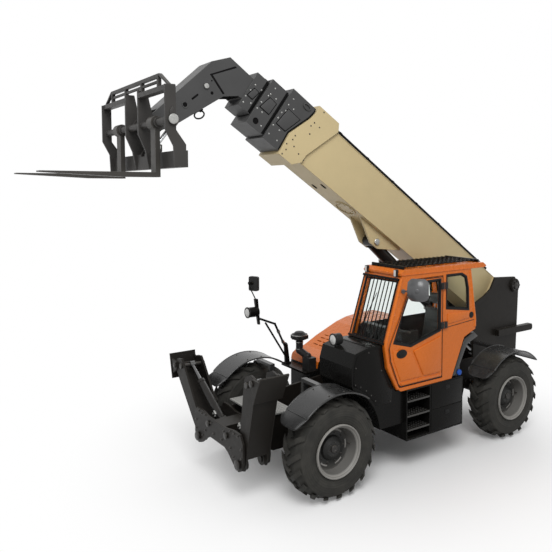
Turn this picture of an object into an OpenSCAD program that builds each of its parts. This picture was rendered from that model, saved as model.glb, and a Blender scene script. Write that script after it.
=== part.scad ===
// Telehandler with a four-section boom, fork carriage and front stabilizers.
// Millimetres. Ground at z = 0, x forward, y to the left, midway between axles.

/* [Wheels] */
// distance between the two axles
wheelbase = 3510; // [3300:10:3800]
// tyre diameter over the lugs
tyre_d = 1312; // [1250:2:1360]
// tyre width at the sidewalls
tyre_w = 420; // [380:4:440]
// width over the outer tyre faces
track_over = 2420; // [2400:4:2520]
// rim flange diameter
rim_d = 696; // [660:2:730]
// lugs in one row of a tyre
lug_count = 18; // [12:1:24]
// lug height
lug_h = 36; // [20:1:45]
// lug thickness round the tyre
lug_t = 62; // [40:1:80]

/* [Boom] */
// boom angle above level at rest
boom_angle = 33.9; // [30:0.1:36]
// height of the boom pivot above the axles
pivot_up = 1622; // [1590:2:1660]
// boom pivot behind the rear axle
pivot_back = 1050; // [1000:5:1080]
// length of the base section from the pivot
base_len = 4700; // [4600:10:4800]
// width of the base section
base_w = 430; // [420:2:460]
// height of the base section
base_h = 724; // [716:2:736]
// wall of the base section
base_wall = 12; // [8:1:14]
// radius of the boom pivot pin
pivot_r = 60; // [45:1:70]

/* [Cab] */
// width of the cab
cab_w = 775; // [740:5:790]
// thickness of the cab pillars and walls
cab_wall = 45; // [35:1:55]
// height of the cab floor
cab_floor = 1255; // [1240:5:1270]
// thickness of the roof
roof_t = 75; // [50:5:90]

/* [Hood] */
// outer reach of the hood from the centre plane
hood_out = 1150; // [1110:2:1190]
// sheet thickness of the hood
hood_t = 12; // [8:1:16]

/* [Forks] */
// width of the fork carriage
carriage_w = 2150; // [1900:10:2200]
// fork blade length
fork_len = 1220; // [1000:10:1250]
// fork width
fork_w = 140; // [110:5:160]
// fork thickness
fork_t = 55; // [40:1:60]
// distance between the fork centres
fork_gap = 1160; // [1000:10:1300]

/* [Stabilizers] */
// arm length from pivot to pad pin
arm_len = 1190; // [1120:10:1220]
// lean of the left arm from upright
lean_left = 14; // [12:0.5:16]
// lean of the right arm from upright
lean_right = 44; // [42:0.5:46]
// length of the foot pad along the arm
pad_w = 370; // [320:10:400]

/* [Clearances] */
// play of a pin in its bore
fit = 0.1; // [0.05:0.01:0.12]
// gap at a wear pad
slip = 0.4; // [0.3:0.05:0.6]
// gap around a door or lid
gap = 10; // [8:1:12]

/* [Hidden] */
$fn = 64;
xr = -wheelbase / 2;
xf = wheelbase / 2;
wheel_r = tyre_d / 2;
wheel_y = (track_over - tyre_w) / 2;
king_in = 100;
king_y = wheel_y - king_in;
rim_r = rim_d / 2;
seat_r = rim_r - 31;
hub_r = 120;
spin_r = 60;
king_r = 35;
axle_z = 698;
drop = wheel_r - axle_z;
wheel_room = wheel_r + 115;
fender_r = wheel_r + 100;
fender_t = 12;
fender_in = 800;
fender_out = 1255;
rail_in = 360;
rail_out = 400;
axle_r = 100;
axle_pad = 830;
belly = 520;
px = xr - pivot_back;
pivot_z = wheel_r + pivot_up;
tower = axle_z + pivot_up;
boom_top = -61;
boom_bot = boom_top - base_h;
boom_y = base_w / 2;
s2_top = boom_top - 31;
s2_bot = boom_bot + 31;
s2_y = boom_y - 25;
s3_top = s2_top - 30;
s3_bot = s2_bot + 30;
s3_y = s2_y - 24;
s4_top = s3_top - 30;
s4_bot = s3_bot + 30;
s4_y = s3_y - 24;
collar_y = boom_y + 45;
head2 = base_len + 850;
head3 = head2 + 300;
head4 = head3 + 200;
tube_wall = 10;
nose_y = 180;
nose_wall = 20;
tx = head4 + 760;
tz = -1610;
nose_pin_r = 50;
tilt_x = head4 + 475;
tilt_z = -795;
ear_x = -90.6;
ear_z = -252.5;
tilt_rest = 976;
tilt_turn = 4.052;
lift_x = 3020;
lift_z = -935;
lift_rest = 3197;
lift_turn = 6.66;
lift_pin = 45;
anchor_z = 1150;
cab_out = 1160;
cab_in = cab_out - cab_w;
roof_z = 2850;
hinge_z = [2030, 2600];
hood_in = 425;
hood_low = 1245;
bay_low = 600;
stab_y = 575;
stab_z = wheel_r - 108;
stab_x0 = xf + 725;
stab_x1 = xf + 1065;
stab_pin = 45;
stab_plate = 30;
stab_side = 12;
rail_front = stab_x0 - xr - stab_plate - stab_side;
cyl_y = 260;
cyl_z = wheel_r + 162;
cyl_pin = 30;
q_along = 1050;
q_in = 100;
web_out = 100;
pad_off = 130;
stab_xm = (stab_x0 + stab_x1) / 2;

// a box from two corners
module box(a, b) {
  translate(a)
    cube([b[0] - a[0], b[1] - a[1], b[2] - a[2]]);
}

// an upright plate drawn in x and z, from y0 to y1
module side(pts, y0, y1) {
  translate([0, y1, 0])
    rotate([90, 0, 0])
      linear_extrude(y1 - y0)
        polygon(pts);
}

// an upright plate drawn in y and z, from x0 to x1
module across(pts, x0, x1) {
  translate([x0, 0, 0])
    rotate([90, 0, 90])
      linear_extrude(x1 - x0)
        polygon(pts);
}

// a round bar along y
module bar_y(x, z, r, y0, y1) {
  translate([x, y1, z])
    rotate([90, 0, 0])
      cylinder(r = r, h = y1 - y0);
}

// a round bar along x
module bar_x(y, z, r, x0, x1) {
  translate([x0, y, z])
    rotate([0, 90, 0])
      cylinder(r = r, h = x1 - x0);
}

// a round bar between two points
module rod(a, b, r) {
  d = b - a;
  len = norm(d);
  translate(a)
    rotate([0, acos(d[2] / len), atan2(d[1], d[0])])
      cylinder(r = r, h = len);
}

// shift from the rear axle to the middle, with the body at its height on the tyres
module from_rear() {
  translate([xr, 0, drop])
    children();
}

// the boom's own frame, x along it from the pivot
module boom() {
  translate([px, 0, pivot_z])
    rotate([0, -boom_angle, 0])
      children();
}

// level frame at the tool pivot
module tool() {
  boom()
    translate([tx, 0, tz])
      rotate([0, boom_angle, 0])
        children();
}

// the lift cylinder's frame, x from its boom pin down to the frame
module lift() {
  boom()
    translate([lift_x, 0, lift_z])
      rotate([0, 180 - lift_turn, 0])
        children();
}

// the tilt cylinder's frame, x from its nose pin to the carriage ear
module tilt() {
  boom()
    translate([tilt_x, 0, tilt_z])
      rotate([0, 90 - tilt_turn, 0])
        children();
}

// arm frame of a stabilizer on the left, z along the arm, y outward
module arm(lean) {
  translate([0, stab_y, stab_z])
    rotate([-lean, 0, 0])
      children();
}

// place of the cylinder pin on an arm, as y and z
function q_y(lean) = stab_y + q_along * sin(lean) - q_in * cos(lean);
function q_z(lean) = stab_z + q_along * cos(lean) + q_in * sin(lean);
function q_len(lean) = norm([q_y(lean) - cyl_y, q_z(lean) - cyl_z]);
function q_turn(lean) = atan2(q_y(lean) - cyl_y, q_z(lean) - cyl_z);

module flip(on) {
  mirror([0, on ? 1 : 0, 0])
    children();
}

// main frame with the boom tower

module rail_shape() {
  pts = [[-1120, 760], [-1180, tower + 30], [-1070, tower + 150], [-540, tower + 180], [-430, tower - 10],
    [-250, tower - 120], [20, tower - 235], [20, 1180], [2700, 1150], [3700, 1050], [rail_front, 1000],
    [rail_front, 660], [4000, 560], [wheelbase + 280, 560], [wheelbase + 200, axle_pad],
    [wheelbase - 200, axle_pad], [wheelbase - 280, belly], [280, belly], [200, axle_pad], [-200, axle_pad],
    [-260, 620], [-900, 620]];
  side(pts, rail_in, rail_out);
}

module frame_half() {
  from_rear() {
    rail_shape();
    box([-1470, rail_out, 1480], [-540, rail_out + 90, 1590]);
    bar_y(-pivot_back, tower, 120, rail_out, rail_out + 30);
    bar_y(-450, anchor_z, 50, 60, rail_in + 5);
  }
}

module main_frame() {
  color("#2a2724")
    union() {
      frame_half();
      mirror([0, 1, 0])
        frame_half();
      from_rear() {
        box([320, -rail_in - 5, belly], [wheelbase - 320, rail_in + 5, belly + 25]);
        box([2860, -rail_in - 5, belly], [2900, rail_in + 5, 1000]);
        box([700, -rail_in - 5, belly], [740, rail_in + 5, 820]);
        bar_y(-pivot_back, tower, pivot_r, -rail_out - 50, rail_out + 50);
      }
    }
}

module counterweight() {
  color("#2a2724")
    from_rear()
      difference() {
        union() {
          box([-1110, -rail_in, 640], [-720, rail_in, 1330]);
          box([-1250, -90, 760], [-1110, 90, 785]);
          box([-1250, -90, 845], [-1110, 90, 870]);
        }
        translate([-1200, 0, 700])
          cylinder(r = 20, h = 300);
      }
}

// stabilizer cross frame at the front

module cross_plate(x0, x1, end) {
  half = [[200, 690], [300, 650], [470, 530], [stab_y, 495], [end - 20, 540], [end, 640], [end, 880],
    [end - 70, 985], [430, 985], [250, 955]];
  left = [for (p = half) [-p[0], p[1]]];
  translate([0, 0, drop])
    across(concat(half, [for (i = [len(left) - 1 : -1 : 0]) left[i]]), x0, x1);
}

module stabilizer_frame() {
  x0 = stab_x0 - stab_side;
  x1 = stab_x1 + stab_side;
  color("#2a2724")
    union() {
      cross_plate(x0 - stab_plate, x0, 660);
      cross_plate(x1, x1 + stab_plate, 690);
      box([x0 - 1, -150, 705 + drop], [x1 + 1, 150, 940 + drop]);
      for (s = [-1, 1]) {
        bar_x(s * stab_y, stab_z, stab_pin, x0 - stab_plate, stab_x0 + 75);
        bar_x(s * stab_y, stab_z, stab_pin, stab_x1 - 75, x1 + stab_plate + 20);
        bar_x(s * cyl_y, cyl_z, cyl_pin, x0 - 1, x1 + stab_plate + 15);
      }
    }
}

module front_deck() {
  color("#8c8c88")
    from_rear()
      box([3700, -440, 1050], [rail_front, 440, 1070]);
}

// axles

module axle(x) {
  difference() {
    union() {
      bar_y(x, wheel_r, axle_r, -king_y + 130, king_y - 130);
      translate([x, 0, wheel_r])
        sphere(r = 190);
      for (s = [-1, 1])
        flip(s < 0) {
          box([x - 120, rail_in - 10, wheel_r], [x + 120, rail_out + 10, axle_pad + drop]);
          box([x - 65, king_y - 160, wheel_r - 165], [x + 65, king_y - 120, wheel_r + 165]);
          box([x - 60, king_y - 121, wheel_r + 130], [x + 60, king_y + 45, wheel_r + 165]);
          box([x - 60, king_y - 121, wheel_r - 165], [x + 60, king_y + 45, wheel_r - 130]);
        }
    }
    for (s = [-1, 1])
      translate([x, s * king_y, wheel_r - 200])
        cylinder(r = king_r + fit, h = 400);
  }
}

module front_axle() {
  color("#2a2724")
    axle(xf);
}

module rear_axle() {
  color("#2a2724")
    axle(xr);
}

module knuckle(x) {
  union() {
    box([x - 70, king_y - 50, wheel_r - 125], [x + 70, king_y + 25, wheel_r + 125]);
    translate([x, king_y, wheel_r - 175])
      cylinder(r = king_r, h = 350);
    bar_y(x, wheel_r, spin_r, king_y + 24, wheel_y + 25);
    box([x - 230, king_y - 45, wheel_r - 20], [x - 60, king_y - 5, wheel_r + 20]);
  }
}

module knuckle_fl() {
  color("#2a2724")
    knuckle(xf);
}

module knuckle_fr() {
  color("#2a2724")
    mirror([0, 1, 0])
      knuckle(xf);
}

module knuckle_rl() {
  color("#2a2724")
    knuckle(xr);
}

module knuckle_rr() {
  color("#2a2724")
    mirror([0, 1, 0])
      knuckle(xr);
}

// wheels

// half section of a tyre, its tread d below the lug tips
function tyre_shape(d) = let (w = tyre_w / 2, r0 = seat_r + 0.3, r = wheel_r - d, e = d / lug_h)
  [[r0, -w + 33], [wheel_r * 0.70, -w], [wheel_r * 0.86, -w + 2 + 14 * e], [r - 44, -w + 12 + 14 * e],
    [r, -w * 0.5], [r, w * 0.5], [r - 44, w - 12 - 14 * e], [wheel_r * 0.86, w - 2 - 14 * e],
    [wheel_r * 0.70, w], [r0, w - 33],
    [r0 + 40, w - 64], [wheel_r - 85, w - 56], [wheel_r - 85, -w + 56], [r0 + 40, -w + 64]];

// one bar of the tread, from the middle out to side s
module lug(s) {
  rotate([s * 38, 0, 0])
    translate([wheel_r - 78, s > 0 ? -8 : 8 - tyre_w, -lug_t / 2])
      cube([100, tyre_w, lug_t]);
}

module tyre() {
  union() {
    rotate([-90, 0, 0])
      rotate_extrude($fn = 96)
        polygon(tyre_shape(lug_h));
    intersection() {
      rotate([-90, 0, 0])
        rotate_extrude($fn = 96)
          polygon(tyre_shape(0));
      for (s = [-1, 1], i = [0 : lug_count - 1])
        rotate([0, (i + s / 4) * 360 / lug_count, 0])
          lug(s);
    }
  }
}

module rim() {
  w = tyre_w / 2;
  bore = spin_r + fit;
  pts = [[bore, -60], [hub_r, -60], [hub_r, 0], [seat_r - 60, 6], [seat_r - 20, -20],
    [seat_r - 20, -w + 14], [rim_r, -w + 6], [rim_r, -w + 20], [seat_r, -w + 32],
    [seat_r, w - 32], [rim_r, w - 20], [rim_r, w + 4], [rim_r - 12, w + 4], [seat_r - 20, w - 34],
    [seat_r - 20, 20], [seat_r - 60, 30], [hub_r + 44, 30], [hub_r + 30, 60], [hub_r - 20, 96],
    [0, 96], [0, 40], [bore, 40]];
  rotate([-90, 0, 0])
    rotate_extrude($fn = 96)
      polygon(pts);
}

module tyre_fl() {
  color("#3e3d38")
    translate([xf, wheel_y, wheel_r])
      tyre();
}

module tyre_fr() {
  color("#3e3d38")
    translate([xf, -wheel_y, wheel_r])
      mirror([0, 1, 0])
        tyre();
}

module tyre_rl() {
  color("#3e3d38")
    translate([xr, wheel_y, wheel_r])
      tyre();
}

module tyre_rr() {
  color("#3e3d38")
    translate([xr, -wheel_y, wheel_r])
      mirror([0, 1, 0])
        tyre();
}

module rim_fl() {
  color("#8a8780")
    translate([xf, wheel_y, wheel_r])
      rim();
}

module rim_fr() {
  color("#8a8780")
    translate([xf, -wheel_y, wheel_r])
      mirror([0, 1, 0])
        rim();
}

module rim_rl() {
  color("#8a8780")
    translate([xr, wheel_y, wheel_r])
      rim();
}

module rim_rr() {
  color("#8a8780")
    translate([xr, -wheel_y, wheel_r])
      mirror([0, 1, 0])
        rim();
}

// fenders over the tyres

module fender(x, from, to, arm_x0, arm_x1) {
  r1 = fender_r + fender_t;
  far = 3 * r1;
  union() {
    intersection() {
      difference() {
        bar_y(x, wheel_r, r1, fender_in, fender_out);
        bar_y(x, wheel_r, fender_r, fender_in - 1, fender_out + 1);
      }
      side([[x, wheel_r], [x + far * cos(from), wheel_r + far * sin(from)], [x, wheel_r + far],
        [x + far * cos(to), wheel_r + far * sin(to)]], fender_in, fender_out);
    }
    box([arm_x0, rail_out, wheel_r + fender_r - 40], [arm_x1, fender_in + 1, wheel_r + fender_r + 5]);
  }
}

module front_fender() {
  fender(xf, 46, 126, xf - 40, xf + 40);
  box([xf - 40, rail_out, 860 + drop], [xf + 40, rail_out + 60, wheel_r + fender_r + 5]);
}

module rear_fender() {
  fender(xr, 46, 134, xr - 60, xr + 20);
}

module front_fenders() {
  color("#24211f")
    union() {
      front_fender();
      mirror([0, 1, 0])
        front_fender();
    }
}

module rear_fenders() {
  color("#24211f")
    union() {
      rear_fender();
      mirror([0, 1, 0])
        rear_fender();
    }
}

// cab

module cab_side(d) {
  pts = [[1395 + d * 0.5, cab_floor + d], [2410 - d * 0.7, cab_floor + d], [2485 - d, 1315 + d * 0.4],
    [2640 - d, 1600], [2700 - d, 1930], [2400 - d, roof_z - d], [1000 + d, roof_z - d], [882 + d, 2100],
    [882 + d, 1930 + d * 0.5], [1130 + d, 1835 + d]];
  polygon(pts);
}

module cab_slab(d, y0, y1) {
  translate([xr, y1, drop])
    rotate([90, 0, 0])
      linear_extrude(y1 - y0)
        cab_side(d);
}

// outline of the door, grown by d
module door_shape(d) {
  polygon([[1600 - d, 1315 - d], [2415 + d, 1315 - d], [2465 + d, 1355 - d], [2610 + d, 1700],
    [2638 + d, 1880], [2620 + d, 1945], [2460 + d, 2260], [2250 + d, 2735 + d], [2205 + d, 2780 + d],
    [1600 - d, 2785 + d]]);
}

// window in the door, d smaller all round
module door_pane(y0, y1, d) {
  from_rear()
    side([[1655 + d, 2010 + d], [2230, 1865 + d], [2540 - 2 * d, 1950 + d], [2390 - d, 2315],
      [2205 - d, 2725 - d], [1655 + d, 2740 - d]], y0, y1);
}

module door_slab(d, y0, y1) {
  translate([xr, y1, drop])
    rotate([90, 0, 0])
      linear_extrude(y1 - y0)
        door_shape(d);
}

module quarter_pane(y0, y1, d) {
  from_rear()
    side([[1045 + d, 2245 + d], [1515 - d, 2312 + d], [1515 - d, 2785 - d], [1200 + d, 2785 - d],
      [1105 + d, 2735 - d], [1060 + d, 2560]], y0, y1);
}

module boom_pane(y0, y1, d) {
  from_rear()
    side([[1000 + d, 1990 + d], [2560 - d, 1990 + d], [2325 - d, 2740 - d], [1060 + d, 2740 - d]],
      y0, y1);
}

// front window opening, d smaller all round, t from the outer face inward
module screen_pane(t0, t1, d) {
  lean = atan2(300, roof_z - 1930);
  translate([xr + 2700, 0, 1930 + drop])
    rotate([0, -lean, 0])
      box([-t1, cab_in + cab_wall + 5 + d, 40 + d], [-t0, cab_out - cab_wall - 5 - d, 880 - d]);
}

module rear_pane(t0, t1, d) {
  lean = atan2(118, roof_z - 2100);
  translate([xr + 882, 0, 2100 + drop])
    rotate([0, lean, 0])
      box([t0, cab_in + cab_wall + 5 + d, 30 + d], [t1, cab_out - cab_wall - 5 - d, 660 - d]);
}

// window in the roof
module roof_pane(z0, z1, d) {
  from_rear()
    box([1100 + d, cab_in + 105 + d, z0], [2240 - d, cab_out - 105 - d, z1]);
}

module cab_frame() {
  color("#dc692d")
    difference() {
      union() {
        cab_slab(0, cab_in, cab_out);
        from_rear() {
          side([[660, roof_z + 25], [690, roof_z - 0.5], [2425, roof_z - 0.5], [2430, roof_z + 30],
            [2370, roof_z + roof_t], [730, roof_z + roof_t]], cab_in, cab_out + 5);
          for (z = hinge_z)
            box([1525, cab_out - 1, z], [1592 - slip, cab_out + 30, z + 90]);
        }
      }
      cab_slab(cab_wall, cab_in + cab_wall, cab_out - cab_wall);
      door_slab(gap, cab_out - cab_wall - 1, cab_out + 1);
      quarter_pane(cab_out - cab_wall - 1, cab_out + 1, 0);
      boom_pane(cab_in - 1, cab_in + cab_wall + 1, 0);
      screen_pane(-200, 120, 0);
      rear_pane(-200, 120, 0);
      roof_pane(roof_z - cab_wall - 1, roof_z + roof_t + 1, 0);
    }
}

module cab_glass() {
  p = 6;
  color("#26302f")
    union() {
      quarter_pane(cab_out - 26, cab_out - 26 + p, 0.2);
      boom_pane(cab_in + 20, cab_in + 20 + p, 0.2);
      screen_pane(20, 20 + p, 0.2);
      rear_pane(20, 20 + p, 0.2);
      roof_pane(roof_z + 40, roof_z + 40 + p, 0.2);
    }
}

module cab_guard() {
  lean = atan2(300, roof_z - 1930);
  y0 = cab_in + 40;
  step = (cab_out - cab_in - 80) / 9;
  color("#24211f")
    union() {
      translate([xr + 2700, 0, 1930 + drop])
        rotate([0, -lean, 0]) {
          box([0, cab_in + 20, 5], [45, cab_out - 20, 35]);
          box([0, cab_in + 20, 890], [45, cab_out - 20, 920]);
          for (i = [0 : 9])
            translate([32, y0 + i * step, 30])
              cylinder(r = 8, h = 865);
        }
      from_rear() {
        box([760, cab_in + 60, roof_z + roof_t], [790, cab_out - 60, roof_z + roof_t + 45]);
        box([2300, cab_in + 60, roof_z + roof_t], [2330, cab_out - 60, roof_z + roof_t + 45]);
        for (i = [1 : 8])
          bar_x(cab_in + 20 + i * (cab_w - 40) / 9, roof_z + roof_t + 28, 8, 785, 2305);
      }
    }
}

module operator_seat() {
  color("#1f1e1d")
    from_rear() {
      y = (cab_in + cab_out) / 2;
      z = cab_floor + cab_wall;
      box([1440, y - 190, z], [1800, y + 190, z + 270]);
      box([1340, y - 235, z + 269], [1860, y + 235, z + 390]);
      side([[1340, z + 389], [1460, z + 389], [1360, z + 950], [1260, z + 950]], y - 225, y + 225);
      side([[1300, z + 949], [1340, z + 949], [1330, z + 990], [1290, z + 990]], y - 40, y + 40);
      side([[1270, z + 989], [1360, z + 989], [1345, z + 1160], [1265, z + 1160]], y - 130, y + 130);
    }
}

module cab_controls() {
  y = (cab_in + cab_out) / 2;
  z = cab_floor + cab_wall;
  color("#242322")
    from_rear()
      union() {
        box([2200, y - 60, z], [2370, y + 60, z + 160]);
        rod([2300, y, z + 100], [2120, y, z + 700], 35);
        translate([2118, y, z + 706])
          rotate([0, -16.7, 0]) {
            rotate_extrude()
              translate([180, 0])
                circle(r = 15);
            cylinder(r = 50, h = 30, center = true);
            for (i = [0 : 2])
              rotate([0, 0, 120 * i + 60])
                translate([0, -16, -6])
                  cube([178, 32, 12]);
          }
        box([1440, cab_in + cab_wall, z], [1900, cab_in + cab_wall + 90, z + 560]);
        rod([1800, cab_in + cab_wall + 45, z + 550], [1820, cab_in + cab_wall + 45, z + 700], 14);
      }
}

module cab_door() {
  color("#dc692d")
    union() {
      difference() {
        door_slab(0, cab_out - cab_wall, cab_out + 5);
        door_pane(cab_out - cab_wall - 1, cab_out + 6, 0);
      }
      from_rear() {
        for (z = hinge_z)
          box([1592, cab_out + 4, z], [1650, cab_out + 30, z + 90]);
        bar_y(2415, 1783, 45, cab_out + 4, cab_out + 18);
      }
    }
}

module door_glass() {
  color("#26302f")
    door_pane(cab_out - 24, cab_out - 18, 0.3);
}

// front cowl, lamp and steps on the left

module front_cowl() {
  pts = [[2304, 780], [2900, 780], [3230, 1450], [3235, 1700], [3180, 1880], [2960, 1935],
    [2712, 1935], [2655, 1600], [2492, 1310], [2465, cab_floor - 0.5], [2304, cab_floor - 0.5]];
  hollow = [[2324, 770], [2880, 770], [3205, 1460], [3212, 1690], [3160, 1862], [2955, 1913],
    [2735, 1913], [2680, 1600], [2490, 1235], [2324, 1235]];
  color("#24211f")
    difference() {
      from_rear()
        side(pts, rail_out, 1110);
      bar_y(xf, wheel_r, wheel_room, rail_out + 60, 1200);
      difference() {
        from_rear()
          side(hollow, rail_out + 20, 1090);
        bar_y(xf, wheel_r, wheel_room + 20, rail_out - 60, 1200);
      }
    }
}

module headlamp() {
  color("#c9c9c2")
    from_rear()
      union() {
        bar_x(650, 1987, 78, 3075, 3185);
        side([[3110, 1897.9], [3150, 1887.9], [3150, 1930], [3110, 1930]], 620, 680);
      }
}

module step_box() {
  color("#24211f")
    from_rear()
      union() {
        difference() {
          box([1160, rail_out, 530], [2304, 1170, cab_floor]);
          box([1850, 940, 555], [2290, 1171, 1235]);
          box([1180, rail_out + 20, 510], [1830, 1150, cab_floor - 20]);
          box([1829, rail_out + 20, 510], [2284, 920, cab_floor - 20]);
        }
        for (z = [660, 860, 1072])
          box([1849, 939, z], [2291, 1165, z + 24]);
      }
}

// engine side

// upper outline of the hood, set d inward
function hood_line(d) = [[2680 - d, 1300], [2660 - d, 1345 - d * 0.6], [2600 - d * 0.7, 1385 - d],
  [2420 - d * 0.5, 1440 - d], [2178 - d * 0.5, 1566 - d], [1969 - d * 0.4, 1655 - d], [1754, 1747 - d],
  [1535, 1809 - d], [1200, 1850 - d], [900 + d * 0.5, 1850 - d], [820 + d, 1790 - d * 0.5]];

module hood_side(d) {
  polygon(concat([[820 + d, hood_low - 1], [2690 - d, hood_low - 1]], hood_line(d)));
}

module hood_slab(d, y0, y1) {
  translate([xr, y1, drop])
    rotate([90, 0, 0])
      linear_extrude(y1 - y0)
        hood_side(d);
}

module engine_hood() {
  color("#dc692d")
    difference() {
      hood_slab(0, -hood_out, -hood_in);
      hood_slab(hood_t, -hood_out + hood_t, -hood_in + 1);
      from_rear() {
        box([800, -hood_out - 1, hood_low - 50], [2700, -hood_in + 1, hood_low]);
        for (i = [0 : 3], j = [0 : 2])
          translate([2330 - 75 * i, -1000 + 150 * j, 1300])
            box([0, 0, 0], [20, 120, 400]);
      }
    }
}

module engine_bay() {
  top = hood_low - gap;
  color("#24211f")
    from_rear()
      union() {
        box([820, -hood_out, bay_low], [2690, -rail_out, bay_low + 20]);
        box([820, -hood_out, bay_low], [2690, -hood_out + 15, top]);
        box([820, -hood_out, bay_low], [835, -rail_out, top]);
        box([2675, -hood_out, bay_low], [2690, -rail_out, top]);
        side(concat([[820, bay_low], [2690, bay_low], [2690, top]], hood_line(25)), -rail_out - 15, -rail_out);
        box([2685, -1080, 1195], [2920, -rail_out, 1225]);
        for (x = [900, 1700, 2560])
          box([x, -hood_out, top - 1], [x + 60, -hood_out + hood_t, hood_low - slip]);
        for (x = [920, 1110])
          box([x, -hood_in + slip, 1790], [x + 80, -rail_out - 14, 1849]);
      }
}

module engine_block() {
  color("#4a4a48")
    from_rear()
      union() {
        box([1000, -1000, bay_low + 20], [2350, -480, 1180]);
        box([1150, -920, 1179], [2200, -560, 1420]);
      }
}

module air_intake() {
  color("#24211f")
    from_rear()
      union() {
        translate([2826, -700, 0]) {
          translate([0, 0, 1500])
            cylinder(r = 56, h = 160);
          translate([0, 0, 1659])
            cylinder(r1 = 60, r2 = 122, h = 28);
          translate([0, 0, 1686])
            cylinder(r = 122, h = 62);
          for (i = [0 : 7])
            rotate([0, 0, 45 * i])
              translate([108, 0, 1692])
                cylinder(r = 34, h = 50);
          translate([0, 0, 1747])
            cylinder(r1 = 122, r2 = 62, h = 50);
          translate([0, 0, 1500])
            sphere(r = 60);
        }
        rod([2826, -700, 1500], [2770, -560, 1425], 56);
        translate([2770, -560, 1425])
          sphere(r = 62);
        box([2705, -610, 1225], [2835, -420, 1425]);
      }
}

module right_post() {
  y = -1020;
  color("#24211f")
    from_rear()
      union() {
        box([2800, y - 40, 1225], [2900, y + 40, 1245]);
        side([[2810, 1244], [2890, 1244], [2905, 1540], [2875, 1570], [2850, 1540]], y - 20, y + 20);
        rod([2885, y, 1350], [3255, y, 1935], 15);
        rod([2880, y, 1480], [3080, y, 1895], 17);
        translate([3080, y, 1895])
          sphere(r = 20);
        rod([3080, y, 1895], [3380, y, 2020], 17);
        side([[3362, 1925], [3390, 1925], [3450, 2330], [3400, 2330], [3390, 2230]], y - 25, y + 25);
        rod([3400, y, 2130], [3570, y, 2130], 78);
        rod([3428, y, 2320], [3535, y, 2530], 9);
        translate([3535, y, 2530])
          sphere(r = 12);
        rod([3535, y, 2530], [3540, y, 2600], 9);
        rod([3552, y, 2586], [3470, y, 2580], 22);
        translate([3470, y, 2570])
          rotate([0, 0, 25])
            box([-50, -75, -105], [10, 75, 105]);
      }
}

module cab_mirror() {
  color("#6c6c68")
    from_rear()
      union() {
        bar_y(2390, 2640, 30, cab_out, cab_out + 25);
        rod([2390, cab_out + 15, 2640], [2440, 1490, 2700], 13);
        translate([2450, 1510, 2705])
          rotate([0, 0, 35])
            intersection() {
              translate([-140, 0, 0])
                sphere(r = 210);
              box([-20, -140, -150], [90, 140, 150]);
            }
      }
}

// boom

module tube(x0, x1, top, bot, half, wall) {
  difference() {
    box([x0, -half, bot], [x1, half, top]);
    box([x0 - 1, -half + wall, bot + wall], [x1 + 1, half - wall, top - wall]);
  }
}

// wear pads between an outer tube's inside and an inner tube's outside
module pads(x0, x1, top, bot, half, top_in, bot_in, half_in, room_out, room_in) {
  box([x0, -half_in * 0.7, top_in + room_in], [x1, half_in * 0.7, top - room_out]);
  box([x0, -half_in * 0.7, bot + room_out], [x1, half_in * 0.7, bot_in - room_in]);
  for (s = [-1, 1])
    flip(s < 0)
      box([x0, half_in + room_in, (top_in + bot_in) / 2 - 120],
        [x1, half - room_out, (top_in + bot_in) / 2 + 120]);
}

// thick end of a section, drawn from x0 on, with the next section's passage
module head(x0, pts, half, top, bot, room) {
  translate([x0, 0, 0])
    difference() {
      side(pts, -half, half);
      box([-1000, -room, bot], [1000, room, top]);
    }
}

module boom_base() {
  ear = [[-150, boom_bot], [-150, -60], [-105, 50], [-55, 95], [55, 95], [105, 50], [380, boom_top - 5],
    [380, boom_bot]];
  collar = [[-100, boom_top], [-40, 45], [365, 40], [354, -76], [385, -195], [552, -566], [548, -690],
    [546, -900], [295, -900], [180, boom_bot], [169, -658]];
  color("#c4b082")
    boom()
      difference() {
        union() {
          tube(-150, base_len + 345, boom_top, boom_bot, boom_y, base_wall);
          box([-150, -boom_y, boom_bot], [-138, boom_y, boom_top]);
          for (s = [-1, 1])
            flip(s < 0) {
              side(ear, boom_y - base_wall, boom_y + 30);
              bar_y(0, 0, 115, boom_y - 40, rail_in - 12);
            }
          head(base_len, collar, collar_y, boom_top - base_wall, boom_bot + base_wall, boom_y - base_wall);
          pads(base_len + 130, base_len + 330, boom_top - base_wall, boom_bot + base_wall,
            boom_y - base_wall, s2_top, s2_bot, s2_y, -1, slip);
          for (s = [-1, 1])
            flip(s < 0)
              side([[2500, boom_bot + 1], [3500, boom_bot + 1], [3110, lift_z - 75], [2930, lift_z - 75]],
                105, 140);
          bar_y(lift_x, lift_z, lift_pin, -155, 155);
        }
        bar_y(0, 0, pivot_r + fit, -rail_in, rail_in);
      }
}

module hose_tray() {
  color("#24211f")
    boom()
      union() {
        box([500, -50, boom_top], [base_len - 115, 110, boom_top + 95]);
        box([620, -170, boom_top], [820, -49, boom_top + 120]);
      }
}

module boom_second() {
  end = [[-475, -25], [-480, -76], [-450, -195], [-283, -566], [-287, -690], [-288, -858], [-2, -858],
    [-30, -25]];
  color("#484848")
    boom()
      union() {
        tube(300, head2 - 150, s2_top, s2_bot, s2_y, tube_wall);
        head(head2, end, s2_y + 45, s2_top - tube_wall, s2_bot + tube_wall, s2_y - tube_wall);
        pads(300, 500, boom_top - base_wall, boom_bot + base_wall, boom_y - base_wall,
          s2_top, s2_bot, s2_y, slip, -1);
        pads(head2 - 220, head2 - 40, s2_top - tube_wall, s2_bot + tube_wall, s2_y - tube_wall,
          s3_top, s3_bot, s3_y, -1, slip);
      }
}

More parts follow.
